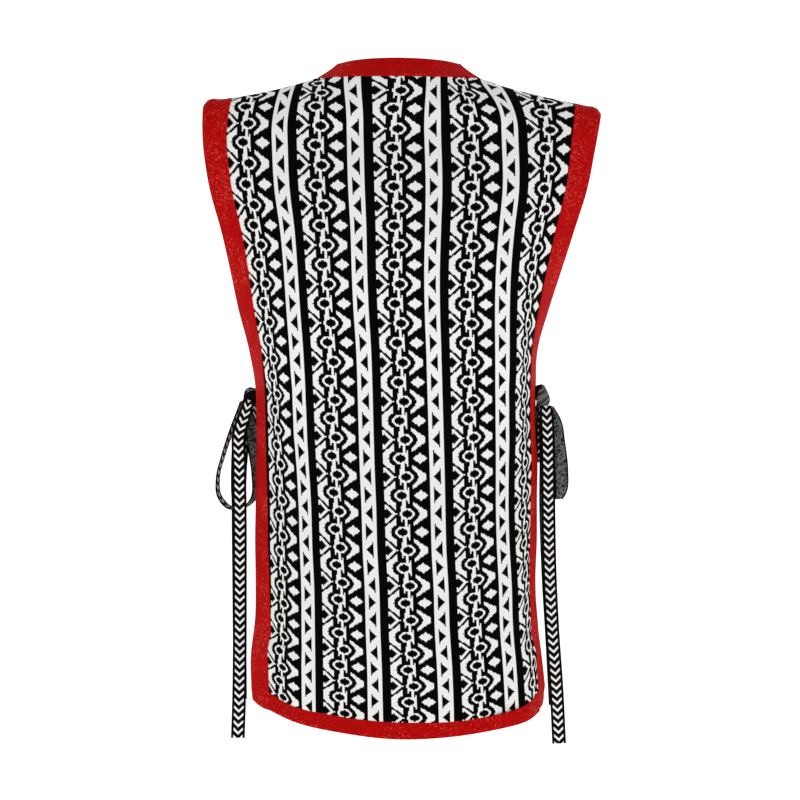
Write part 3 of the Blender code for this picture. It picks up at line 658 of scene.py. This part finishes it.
class Side:
    """The back or the front: its tables and which way it faces."""

    def __init__(self, rows, neck_rows, neck_at, hem_rows, corners, folds, facing, cloth_area):
        self.rows, self.neck_rows, self.neck_at = rows, neck_rows, neck_at
        self.hem_rows, self.corners, self.folds, self.facing = hem_rows, corners, folds, facing
        self.cloth_area = cloth_area

    def hem(self, name, place):
        """The height of the hem's seam or edge across the panel."""
        return read(self.hem_rows, HEM_COLUMNS, name, np.clip(place, -1, 1))

    def smooth_point(self, place, rise, short=0.0):
        """A point of the cloth without folds: rise runs 0 to 1 up the body
        from the hem seam and 1 to 2 over the roll to the upper edge."""
        place, rise = np.broadcast_arrays(np.asarray(place, float), np.asarray(rise, float))
        end, lean = top_edge(self.neck_rows, self.neck_at, place)
        away = np.stack([np.zeros_like(lean), -self.facing * np.sin(lean), np.cos(lean)], -1)
        end = end - away * np.asarray(short)[..., None]
        low, fold = self.hem("seam", place), end[..., 2] - ROLL_DROP
        body, run, repeats = drape(self.rows, place, low + (fold - low) * np.minimum(rise, 1))
        start = drape(self.rows, place, fold)[0]
        upward = (drape(self.rows, place, fold + ROLL_SLOPE_STEP)[0]
                  - drape(self.rows, place, fold - ROLL_SLOPE_STEP)[0])
        upward /= np.linalg.norm(upward, axis=-1)[..., None]
        length = np.linalg.norm(end - start, axis=-1)[..., None] * ROLL_FULLNESS
        t = np.clip(rise - 1, 0, 1)[..., None]
        roll = hermite(t, start, end, length, upward, away)
        return np.where(rise[..., None] <= 1, body, roll), run, repeats

    def folded(self, surface, place, second):
        """Points of a surface of two numbers, moved out by the folds there."""
        points, run, repeats = surface(place, second)
        across = surface(place + SLOPE_STEP, second)[0] - surface(place - SLOPE_STEP, second)[0]
        up = surface(place, second + SLOPE_STEP)[0] - surface(place, second - SLOPE_STEP)[0]
        outward = np.cross(across, up) * -self.facing
        outward /= np.maximum(np.linalg.norm(outward, axis=-1), 1e-9)[..., None]
        depth = np.zeros(run.shape)
        flat = np.stack([run, points[..., 2]], -1)
        for fold in self.folds:
            value = dict(zip(FOLD_COLUMNS, fold))
            start = np.array([value["from_run"], value["from_height"]])
            line = np.array([value["to_run"], value["to_height"]]) - start
            t = np.clip(((flat - start) @ line) / (line @ line), 0, 1)
            off = np.linalg.norm(flat - start - t[..., None] * line, axis=-1)
            fade = 1 - FOLD_FADE * t**2
            depth += value["depth"] * fade * np.exp(-(off / value["half_width"])**2)
        return points + outward * depth[..., None], run, repeats


BACK = Side(BACK_ROWS, BACK_NECK, BACK_NECK_AT, BACK_HEM, BACK_CORNERS, BACK_FOLDS, 1, 0.231)
FRONT = Side(FRONT_ROWS, FRONT_NECK, FRONT_NECK_AT, FRONT_HEM, FRONT_CORNERS, FRONT_FOLDS, -1,
             0.206)
SIDES = {"back": BACK, "front": FRONT}


def rows_down(place, height):
    """Pattern repeats from the first row of motifs down to a height."""
    place, height = np.broadcast_arrays(np.asarray(place, float), np.asarray(height, float))
    left, right, power = (read(ROW_LIFTS, LIFT_COLUMNS, name, height)
                          for name in LIFT_COLUMNS[1:])
    height = height - np.where(place > 0, left, right) * abs(place) ** power
    repeat = read(REPEAT_HEIGHTS, REPEAT_COLUMNS, "repeat", LEVELS)
    counted = np.concatenate([[0], np.cumsum(LEVEL_STEP / ((repeat[1:] + repeat[:-1]) / 2))])
    counted -= np.interp(-FIRST_ROW, -LEVELS, counted)
    return np.interp(-height, -LEVELS, counted)


def add_node(tree, kind, settings=None, links=None):
    """Adds one node, with its settings and socket values, and what it is linked to."""
    node = tree.nodes.new(kind)
    for key, value in (settings or {}).items():
        if isinstance(key, str) and hasattr(node, key):
            setattr(node, key, value)
        else:
            node.inputs[key].default_value = value
    for key, source in (links or {}).items():
        tree.links.new(source, node.inputs[key])
    return node


def work_out(tree, known, steps):
    """Works down a table of steps: a result, an operation and its terms, each a
    number or an earlier result."""
    for result, operation, *terms in steps:
        numbers = {i: term for i, term in enumerate(terms) if not isinstance(term, str)}
        links = {i: known[term] for i, term in enumerate(terms) if isinstance(term, str)}
        node = add_node(tree, "ShaderNodeMath", {"operation": operation, **numbers}, links)
        known[result] = node.outputs[0]
    return known


def start_material(name, roughness, ior):
    """A material with one shader, and the cloth's own coordinates. Where it is
    there already, there is nothing to work out, and only it is returned."""
    material = bpy.data.materials.get(name)
    if material:
        return material, None, None, None
    material = bpy.data.materials.new(name)
    material.use_nodes = True
    tree = material.node_tree
    shader = tree.nodes["Principled BSDF"]
    shader.inputs["Roughness"].default_value = roughness
    shader.inputs["Specular IOR Level"].default_value = 0.02
    shader.inputs["IOR"].default_value = ior
    place = add_node(tree, "ShaderNodeUVMap", {"uv_map": "fabric"})
    parts = add_node(tree, "ShaderNodeSeparateXYZ", links={0: place.outputs[0]})
    known = {"uv": place.outputs[0], "u": parts.outputs[0], "v": parts.outputs[1]}
    return material, tree, shader, known


def scattered(tree, known, size):
    """Two different numbers from 0 to 1 for each small cell of the cloth."""
    cells = add_node(tree, "ShaderNodeTexVoronoi",
                     {"voronoi_dimensions": "2D", "feature": "F1", "Scale": 1 / size},
                     {"Vector": known["uv"]})
    return add_node(tree, "ShaderNodeSeparateColor", links={0: cells.outputs["Color"]}).outputs


def finish_material(tree, shader, colour, relief, strength, distance):
    """Links the colour, and a bump of the relief, to the shader."""
    bump = add_node(tree, "ShaderNodeBump", {"Strength": strength, "Distance": distance},
                    {"Height": relief})
    tree.links.new(colour, shader.inputs["Base Color"])
    tree.links.new(bump.outputs[0], shader.inputs["Normal"])


def knitted_jacquard(wrong_side=False):
    """Double jacquard knit of matt wool and acrylic yarn: whole stitches of
    black or white, each with soft relief, painted shade in the grooves of that relief, and a
    slightly uneven tone."""
    material, tree, shader, known = start_material(
        "knitted_jacquard_wrong_side" if wrong_side else "knitted_jacquard", 0.92, 1.5)
    if tree is None:
        return material
    colours = bpy.context.scene.vest_colours
    work_out(tree, known, COUNTED + (BIRDSEYE if wrong_side else CHART) + STITCH_RELIEF)
    # Yarn tone differs a little from stitch to stitch.
    cell = add_node(tree, "ShaderNodeCombineXYZ", links={0: known["column"], 1: known["row"]})
    tone = add_node(tree, "ShaderNodeTexWhiteNoise", {"noise_dimensions": "2D"},
                    {0: cell.outputs[0]})
    known["tone"] = tone.outputs["Value"]
    # The relief also darkens the colour a little in the stitches' grooves and lightens their
    # legs: painted shade, on top of the random tone.
    work_out(tree, known, (
        ("toned", "MULTIPLY_ADD", "tone", 0.07, 0.91),
        ("shade", "MULTIPLY_ADD", "relief", 0.035, "toned"),
    ))
    yarn = add_node(tree, "ShaderNodeMix",
                    {"data_type": "RGBA", 6: (*colours.black_yarn, 1),
                     7: (*colours.white_yarn, 1)}, {0: known["white"]})
    tint = add_node(tree, "ShaderNodeVectorMath", {"operation": "SCALE"},
                    {0: yarn.outputs[2], 3: known["shade"]})
    # Stitches are 1.4 mm wide, and their relief is about a fifth of that.
    finish_material(tree, shader, tint.outputs[0], known["relief"], 0.35, 0.0003)
    return material


def knitted_red_lurex():
    """Fine red knit with a flat metal thread; its glints at scattered stitches are painted into
    the colour as a brighter pink-red.
    """
    material, tree, shader, known = start_material("knitted_red_lurex", 0.6, 1.5)
    if tree is None:
        return material
    colours = bpy.context.scene.vest_colours
    glint = scattered(tree, known, GLINT_SIZE)
    patch = add_node(tree, "ShaderNodeTexNoise",
                     {"noise_dimensions": "2D", "Scale": 1 / PATCH_SIZE, "Detail": 2.0},
                     {"Vector": known["uv"]})
    known.update(cell=glint[0], other=glint[1], patch=patch.outputs["Fac"])
    # Painted glint: stitches whose random value passes a threshold, lowered in the patches, get
    # the bright pink-red mixed into their colour
    work_out(tree, known, (
        ("needed", "MULTIPLY_ADD", "patch", -0.70, 1.22),
        ("over", "SUBTRACT", "cell", "needed"),
        ("sharp", "MULTIPLY", "over", 5.0),
        ("low", "MAXIMUM", "sharp", 0.0),
        ("glinting", "MINIMUM", "low", 0.60),
        ("shade", "MULTIPLY_ADD", "other", 0.46, 0.66),
        ("walk", "MULTIPLY", "v", 2 * math.pi / RED_LOOP_SIZE),
        ("course", "SINE", "walk"),
        ("stroll", "MULTIPLY", "u", 2 * math.pi / RED_LOOP_SIZE),
        ("wale", "SINE", "stroll"),
        ("knit", "MULTIPLY", "course", "wale"),
        ("relief", "ADD", "knit", "cell"),
    ))
    yarn = add_node(tree, "ShaderNodeVectorMath",
                    {"operation": "SCALE", 0: tuple(colours.red_yarn)}, {3: known["shade"]})
    thread = add_node(tree, "ShaderNodeMix",
                      {"data_type": "RGBA", 7: (*colours.painted_lurex_glint, 1)},
                      {0: known["glinting"], 6: yarn.outputs[0]})
    finish_material(tree, shader, thread.outputs[2], known["relief"], 0.4, 0.0003)
    return material


def woven_ribbon(wrong_side=False):
    """Flat woven polyester ribbon: black warp with a white weft that shows as a
    row of chevrons between black edges, and floats grey on the wrong side."""
    material, tree, shader, known = start_material(
        "woven_ribbon_wrong_side" if wrong_side else "woven_ribbon", 0.6, 1.54)
    if tree is None:
        return material
    colours = bpy.context.scene.vest_colours
    work_out(tree, known, (
        ("ends", "MULTIPLY", "u", THREADS_PER_METRE),
        ("picks", "MULTIPLY", "v", THREADS_PER_METRE),
        ("end", "FLOOR", "ends"), ("pick", "FLOOR", "picks"),
        ("end_middle", "ADD", "end", 0.5),
        ("off", "ABSOLUTE", "end_middle"),
    ))
    if wrong_side:
        known["caught"] = scattered(tree, known, FLOAT_SIZE)[0]
        work_out(tree, known, (
            # Floats lie in a twill between plain edges, caught down unevenly.
            ("both", "ADD", "end", "pick"), ("third", "DIVIDE", "both", 3),
            ("part", "FRACT", "third"),
            ("float", "GREATER_THAN", "part", 0.5),
            ("in_edge", "LESS_THAN", "off", 12),
            ("bright", "MULTIPLY_ADD", "caught", 0.62, -0.02),
            *both("white", "float", "in_edge", "bright"),
        ))
    else:
        work_out(tree, known, (
            # Chevrons repeat every 16 picks, 8 mm, with strokes of 3 mm.
            ("slant", "ADD", "pick", "off"), ("part", "DIVIDE", "slant", 16),
            ("step", "FRACT", "part"), ("stroke", "LESS_THAN", "step", 0.40),
            ("row", "LESS_THAN", "off", 10),
            ("white", "MULTIPLY", "stroke", "row"),
        ))
    work_out(tree, known, (
        ("rib_u", "MULTIPLY", "ends", math.pi), ("rib", "SINE", "rib_u"),
        ("rib_v", "MULTIPLY", "picks", math.pi), ("weft", "SINE", "rib_v"),
        ("relief", "MULTIPLY", "rib", "weft"),
    ))
    thread = add_node(tree, "ShaderNodeMix",
                      {"data_type": "RGBA", 6: (*colours.ribbon_black, 1),
                       7: (*colours.ribbon_white, 1)}, {0: known["white"]})
    finish_material(tree, shader, thread.outputs[2], known["relief"], 0.3, 0.0002)
    return material


# For each slot: its thickness, its material, whether it has a wrong side of its
# own, and how far its edges are rounded
FABRICS = {
    "jacquard_knit": ("panel_thickness", knitted_jacquard, True, 0),
    "red_lurex_knit": ("trim_thickness", knitted_red_lurex, False, TRIM_ROUNDING),
    "black_woven_ribbon": ("ribbon_thickness", woven_ribbon, True, 0),
}


def add_object(name, data):
    """Puts a mesh, a light or a camera into the scene."""
    item = bpy.data.objects.new(name, data)
    bpy.context.scene.collection.objects.link(item)
    return item


def add_mesh(name, bm, *materials):
    """Puts a finished mesh into the scene, smoothly shaded."""
    mesh = bpy.data.meshes.new(name)
    bm.to_mesh(mesh)
    bm.free()
    mesh.shade_smooth()
    for material in materials:
        mesh.materials.append(material)
    return add_object(name, mesh)


def cloth(name, points, coordinates, nodes, slot, loop=False):
    """A grid moved onto its surface, with fabric coordinates and a thickness.

    points and coordinates have one row for each step across and one column for
    each step along. The right side is the one that the faces point to.
    """
    thickness, material, two_sided, rounding = FABRICS[slot]
    materials = [material(), material(True)] if two_sided else [material()]
    across, along = (count - 1 for count in points.shape[:2])
    bm = bmesh.new()
    bmesh.ops.create_grid(bm, x_segments=across, y_segments=along, size=1.0)
    flat = np.array([vert.co[:] for vert in bm.verts])
    i = np.rint((flat[:, 0] + 1) / 2 * across).astype(int)
    j = np.rint((flat[:, 1] + 1) / 2 * along).astype(int)
    for vert, point in zip(bm.verts, points[i, j]):
        vert.co = Vector(point)
    fabric = bm.loops.layers.uv.new("fabric")
    placed = coordinates[i, j]
    bm.verts.index_update()
    for face in bm.faces:
        for corner in face.loops:
            corner[fabric].uv = placed[corner.vert.index]
    if loop:
        bmesh.ops.remove_doubles(bm, verts=bm.verts, dist=0.00005)
    piece = add_mesh(name, bm, *materials)
    shell = piece.modifiers.new("thickness", "SOLIDIFY")
    shell.thickness = getattr(bpy.context.scene.vest_sizes, thickness)
    shell.offset = 0.0
    shell.use_even_offset = True
    shell.material_offset = len(materials) - 1
    if rounding:
        edge = piece.modifiers.new("soft edges", "BEVEL")
        edge.width = rounding
        edge.segments = 2
        edge.limit_method = "ANGLE"
        edge.angle_limit = math.radians(50)
    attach(piece, "root")
    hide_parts(*nodes)
    return piece


def lengths(points):
    """Distance along each row of points, from its first."""
    steps = np.linalg.norm(np.diff(points, axis=1), axis=-1)
    return np.concatenate([np.zeros((len(points), 1)), np.cumsum(steps, axis=1)], axis=1)


def make_panel(face, side):
    """One jacquard panel, from its hem seam over the roll to neck and shoulder."""
    sizes = bpy.context.scene.vest_sizes
    reach = 1 + TUCK_ACROSS
    left, right = side.neck_at
    count = sizes.panel_columns
    # Columns stand on both ends of the neck seam, and the rest are spread evenly.
    parts = [(-reach, -right), (-right, left), (left, reach)]
    spread = [max(2, round(count * (end - start) / (2 * reach))) for start, end in parts]
    places = np.concatenate([np.linspace(*part, n + 1)[:-1] for part, n in zip(parts, spread)]
                            + [[reach]])
    rows = sizes.panel_rows
    roll_rows = rows // ROLL_PART
    rises = np.concatenate([np.linspace(-TUCK_DOWN, 1, rows - roll_rows + 1),
                            np.linspace(1, 2, roll_rows + 1)[1:]])
    places = places[::-1] if side.facing > 0 else places
    place, rise = np.meshgrid(places, rises, indexing="ij")
    points, _, repeats = side.folded(side.smooth_point, place, rise)
    down = rows_down(place, points[..., 2])
    fold = rows - roll_rows
    over = lengths(points[:, fold:]) / ROLL_REPEAT
    down[:, fold:] = down[:, fold:fold + 1] - over
    coordinates = np.stack([-side.facing * repeats + 0.5, down], -1)
    piece = cloth(face + "_jacquard", points, coordinates,
                  [f"{face}_panel_{length}" for length in ("bottom", "middle", "top")],
                  "jacquard_knit")
    return piece


def make_hem(face, side):
    """The red strip that closes a panel's lower edge."""
    across, up = HEM_STEPS
    places = np.linspace(-1 - TUCK_ACROSS, 1 + TUCK_ACROSS, across + 1)
    places = places[::-1] if side.facing > 0 else places
    steps = np.linspace(1, 0, up + 1)

    def surface(place, down):
        seam, edge = side.hem("seam", place), side.hem("edge", place)
        return drape(side.rows, place, seam + (edge - seam) * down)

    place, down = np.meshgrid(places, steps, indexing="ij")
    points, run, _ = side.folded(surface, place, down)
    coordinates = np.stack([lengths(points), run], -1)
    piece = cloth(face + "_hem_knit", points, coordinates, [face + "_hem_trim"],
                  "red_lurex_knit")
    return piece


def make_side_trim(hand):
    """One strip from the back hem, over the shoulder, to the front hem."""
    sign = HANDS[hand]
    body, roll = TRIM_STEPS
    rows = np.concatenate([[-1], np.linspace(0, 1, body + 1), np.linspace(1, 2, roll + 1)[1:]])
    halves = []
    for side in (BACK, FRONT):
        inner, outer, draw = side.corners[hand]
        place, rise = np.meshgrid(sign * (1 + TRIM_SPANS), rows, indexing="ij")
        points, run, _ = side.folded(side.smooth_point, place, np.maximum(rise, 0))
        corner_place = sign * (1 + TRIM_SPANS * (1 - draw * TRIM_SPANS))
        points[:, 0] = drape(side.rows, corner_place,
                             inner + (outer - inner) * TRIM_SPANS**2)[0]
        halves.append((points, run))
    points = np.concatenate([halves[0][0], halves[1][0][:, -2::-1]], axis=1)
    run = np.abs(np.concatenate([halves[0][1], halves[1][1][:, -2::-1]], axis=1))
    coordinates = np.stack([run, lengths(points)], -1)
    if hand == "left":
        points, coordinates = points[::-1], coordinates[::-1]
    piece = cloth(hand + "_side_knit", points, coordinates, [hand + "_trim"], "red_lurex_knit")
    return piece


def make_neckband():
    """The band round the neck, with its upper edge rolled a little inwards."""
    behind, before, up = NECK_STEPS
    around = [(BACK_NECK, at) for at in np.linspace(1, -1, behind + 1)[:-1]]
    around += [(FRONT_NECK, at) for at in np.linspace(-1, 1, before + 1)]
    table = np.array([[read(rows, NECK_COLUMNS, key, np.array([at]))[0]
                       for key in NECK_COLUMNS[1:]] for rows, at in around])
    seam, brim = table[:, :3], table[:, 4:]
    t = np.linspace(-NECK_UNDER, 1, up + 1)[None, :, None]
    points = seam[:, None] + (brim - seam)[:, None] * t
    outward = (points - np.array(NECK_MIDDLE)) * (1, 1, 0)
    outward /= np.linalg.norm(outward, axis=-1)[..., None]
    points = points - outward * NECK_ROLL * np.sin(math.pi * np.clip(t, 0, 1))
    walked = lengths(points.transpose(1, 0, 2)).T
    coordinates = np.stack([lengths(points), walked], -1)
    piece = cloth("neckband_knit", points, coordinates, ["neckband"], "red_lurex_knit", loop=True)
    return piece


def make_ribbon(name, stations, steps):
    """A woven ribbon along a smooth line through its stations."""
    sizes = bpy.context.scene.vest_sizes
    table = np.array([station + USUAL_STATION[len(station):] for station in stations], float)
    runs = lengths(table[None, :, :3])[0]

    def line(key, at):
        return smooth(runs, table[:, RIBBON_COLUMNS.index(key)], at)

    at = np.linspace(0, runs[-1], steps + 1)
    middle = np.stack([line(key, at) for key in "xyz"], -1)
    ahead = np.stack([line(key, np.minimum(at + SLOPE_STEP, runs[-1])) for key in "xyz"], -1)
    behind = np.stack([line(key, np.maximum(at - SLOPE_STEP, 0)) for key in "xyz"], -1)
    along = ahead - behind
    along /= np.linalg.norm(along, axis=1)[:, None]
    turn = np.radians(line("width_turn", at))
    wide = np.stack([np.cos(turn), np.sin(turn), np.zeros_like(turn)], -1)
    wide = wide - along * (wide * along).sum(1)[:, None]
    wide /= np.linalg.norm(wide, axis=1)[:, None]
    spread = np.linspace(-1, 1, RIBBON_ACROSS + 1)
    half = sizes.ribbon_width / 2 * line("spread", at)
    points = middle[None] + wide[None] * (spread[:, None] * half)[..., None]
    coordinates = np.stack(np.broadcast_arrays(
        spread[:, None] * sizes.ribbon_width / 2, at[None]), -1)
    if name not in FACE_TO_BACK:
        points, coordinates = points[::-1], coordinates[::-1]
    piece = cloth(name + "_ribbon", points, coordinates, [name], "black_woven_ribbon")
    return piece


def make_strap(hand, face, side):
    """The sewn end of a ribbon: from inside the trim's edge out to the knot."""
    sizes = bpy.context.scene.vest_sizes
    sign = HANDS[hand]
    inset = (sizes.trim_thickness + sizes.ribbon_thickness) / 2 + STRAP_GAP
    half = sizes.ribbon_width / 2
    rows = []
    for step in np.linspace(-1, 1, RIBBON_ACROSS + 1):
        height = np.array(STRAP_HEIGHT + step * half)
        outer = drape(side.rows, sign * 2.0, height)[0]
        sewn = drape(side.rows, sign * (2.0 - STRAP_SEWN / sizes.trim_width), height)[0]
        along = outer - sewn
        inward = np.array([-along[1], along[0], 0.0])
        inward *= -sign * side.facing / np.linalg.norm(inward)
        knot = np.array([STRAP_END_X[hand],
                         KNOTS[hand][0][1] + side.facing * STRAP_END_INSET,
                         STRAP_HEIGHT + step * half * STRAP_PINCH])
        line = np.array([sewn + inward * inset, outer + inward * inset, knot])
        runs = lengths(line[None])[0]
        at = np.linspace(0, runs[-1], STRAP_STEPS + 1)
        rows.append(np.stack([np.interp(at, runs, line[:, k]) for k in range(3)], -1))
    points = np.array(rows)
    walked = lengths(points)
    across = np.linspace(-half, half, RIBBON_ACROSS + 1)[:, None] + np.zeros_like(walked)
    coordinates = np.stack([across, walked], -1)
    if sign * side.facing < 0:
        points, coordinates = points[::-1], coordinates[::-1]
    name = f"{hand}_tie_{face}_strap"
    piece = cloth(name + "_ribbon", points, coordinates, [name], "black_woven_ribbon")
    return piece


def make_knot(hand):
    """The knot: a tight lump of pulled ribbon with the pleats of its turns."""
    centre, size = KNOTS[hand]
    turned = dict(zip(KNOT_TURN_COLUMNS, KNOT_TURNS[hand]))
    bm = bmesh.new()
    around, up = KNOT_STEPS
    bmesh.ops.create_uvsphere(bm, u_segments=around, v_segments=up, radius=1.0)
    fabric = bm.loops.layers.uv.new("fabric")
    for face in bm.faces:
        x, _, z = face.calc_center_median()
        if turned["turn_x"] * x + turned["turn_z"] * z > turned["turn_from"]:
            face.material_index = 1
    depth, number, slant = KNOT_PLEATS
    for vert in bm.verts:
        x, y, z = vert.co
        pleat = 1 + depth * math.sin(number * math.atan2(y, x) + slant * z) * (1 - z * z)
        vert.co = Vector([math.copysign(abs(part)**KNOT_POWER, part) * half * pleat
                          for part, half in zip((x, y, z), (s / 2 for s in size))])
    across, seen, slope = KNOT_CLOTH
    for face in bm.faces:
        for corner in face.loops:
            x, y, z = corner.vert.co
            corner[fabric].uv = (across + seen * x, z + slope * x + y)
    bmesh.ops.rotate(bm, verts=bm.verts, cent=(0, 0, 0),
                     matrix=Matrix.Rotation(math.radians(KNOT_TILTS[hand]), 3, "Y"))
    bmesh.ops.translate(bm, verts=bm.verts, vec=Vector(centre))
    piece = add_mesh(hand + "_knot_ribbon", bm, woven_ribbon(), woven_ribbon(True))
    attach(piece, "root")
    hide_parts(hand + "_tie_knot")
    return piece


def aim_from(item, place, target):
    """Stands a light or a camera at a place and turns it to a target."""
    item.location = place
    item.rotation_euler = (Vector(target) - item.location).to_track_quat("-Z", "Y").to_euler()


class VEST_OT_stage(Operator):
    """Set the plain white floor, the soft lights and the camera"""
    bl_idname = "vest.stage"
    bl_label = "Stage"

    def execute(self, context):
        bm = bmesh.new()
        bmesh.ops.create_grid(bm, x_segments=2, y_segments=40, size=1.0)
        # The floor runs back and bends up softly behind the vest.
        for vert in bm.verts:
            across, along = vert.co.x, (vert.co.y + 1) / 2
            if along < 0.5:
                y, z = FLOOR_NEAR - along * 2 * (FLOOR_NEAR - FLOOR_FAR), FLOOR_HEIGHT
            else:
                t = (along - 0.5) * math.pi
                y = FLOOR_FAR - BEND_RADIUS * math.sin(t)
                z = FLOOR_HEIGHT + BEND_RADIUS * (1 - math.cos(t))
            vert.co = Vector((across * FLOOR_HALF_WIDTH, y, z))
        # Matt white paper, lit to a clean white
        paper = bpy.data.materials.new("white_paper")
        paper.use_nodes = True
        shader = paper.node_tree.nodes["Principled BSDF"]
        shader.inputs["Base Color"].default_value = (*linear("#F4F4F4"), 1)
        shader.inputs["Roughness"].default_value = 0.9
        shader.inputs["Specular IOR Level"].default_value = 0.0
        shader.inputs["Emission Color"].default_value = (1, 1, 1, 1)
        shader.inputs["Emission Strength"].default_value = 0.60
        floor = add_mesh("floor", bm, paper)

        world = bpy.data.worlds.new("studio")
        context.scene.world = world
        world.use_nodes = True
        sky = world.node_tree.nodes["Background"]
        sky.inputs["Color"].default_value = (1, 1, 1, 1)
        sky.inputs["Strength"].default_value = 0.70
        for name, spot, size, power in LIGHTS:
            light = bpy.data.lights.new(name, "AREA")
            light.shape = "DISK"
            light.size = size
            light.energy = power
            aim_from(add_object(name, light), spot, VEST_MIDDLE)

        camera = bpy.data.cameras.new("camera")
        camera.angle = math.radians(CAMERA_ANGLE)
        holder = add_object("camera", camera)
        aim_from(holder, CAMERA_PLACE, CAMERA_AIM)
        context.scene.camera = holder
        context.scene.view_settings.view_transform = "Standard"
        return {"FINISHED"}


class VEST_OT_panels(Operator):
    """Knit the back and front jacquard panels"""
    bl_idname = "vest.panels"
    bl_label = "Panels"

    def execute(self, context):
        for face, side in SIDES.items():
            make_panel(face, side)
        return {"FINISHED"}


class VEST_OT_trims(Operator):
    """Knit the red side trims, hem trims and neckband"""
    bl_idname = "vest.trims"
    bl_label = "Trims"

    def execute(self, context):
        for hand in HANDS:
            make_side_trim(hand)
        for face, side in SIDES.items():
            make_hem(face, side)
        make_neckband()
        return {"FINISHED"}


class VEST_OT_ties(Operator):
    """Weave the ribbons and tie their bows"""
    bl_idname = "vest.ties"
    bl_label = "Ribbon ties"

    def execute(self, context):
        for name, stations in RIBBONS.items():
            make_ribbon(name, stations, LOOP_STEPS if name.endswith("loop") else TAIL_STEPS)
        for hand in HANDS:
            for face, side in SIDES.items():
                make_strap(hand, face, side)
            make_knot(hand)
        return {"FINISHED"}


class VEST_PT_panel(Panel):
    """The vest's sizes, colours and pieces"""
    bl_label = "Knitted tabard vest"
    bl_space_type = "VIEW_3D"
    bl_region_type = "UI"
    bl_category = "Vest"

    def draw(self, context):
        for group in (context.scene.vest_sizes, context.scene.vest_colours):
            for name in group.__annotations__:
                self.layout.prop(group, name)
        for operator in OPERATORS:
            self.layout.operator(operator.bl_idname)


OPERATORS = (VEST_OT_stage, VEST_OT_panels, VEST_OT_trims, VEST_OT_ties)
CLASSES = (VestSizes, VestColours, *OPERATORS, VEST_PT_panel)


def register():
    for item in CLASSES:
        bpy.utils.register_class(item)
    bpy.types.Scene.vest_sizes = PointerProperty(type=VestSizes)
    bpy.types.Scene.vest_colours = PointerProperty(type=VestColours)


def unregister():
    del bpy.types.Scene.vest_colours
    del bpy.types.Scene.vest_sizes
    for item in reversed(CLASSES):
        bpy.utils.unregister_class(item)


def main():
    register()
    bpy.ops.vest.stage()
    bpy.ops.vest.panels()
    bpy.ops.vest.trims()
    bpy.ops.vest.ties()


if __name__ == "__main__":
    main()
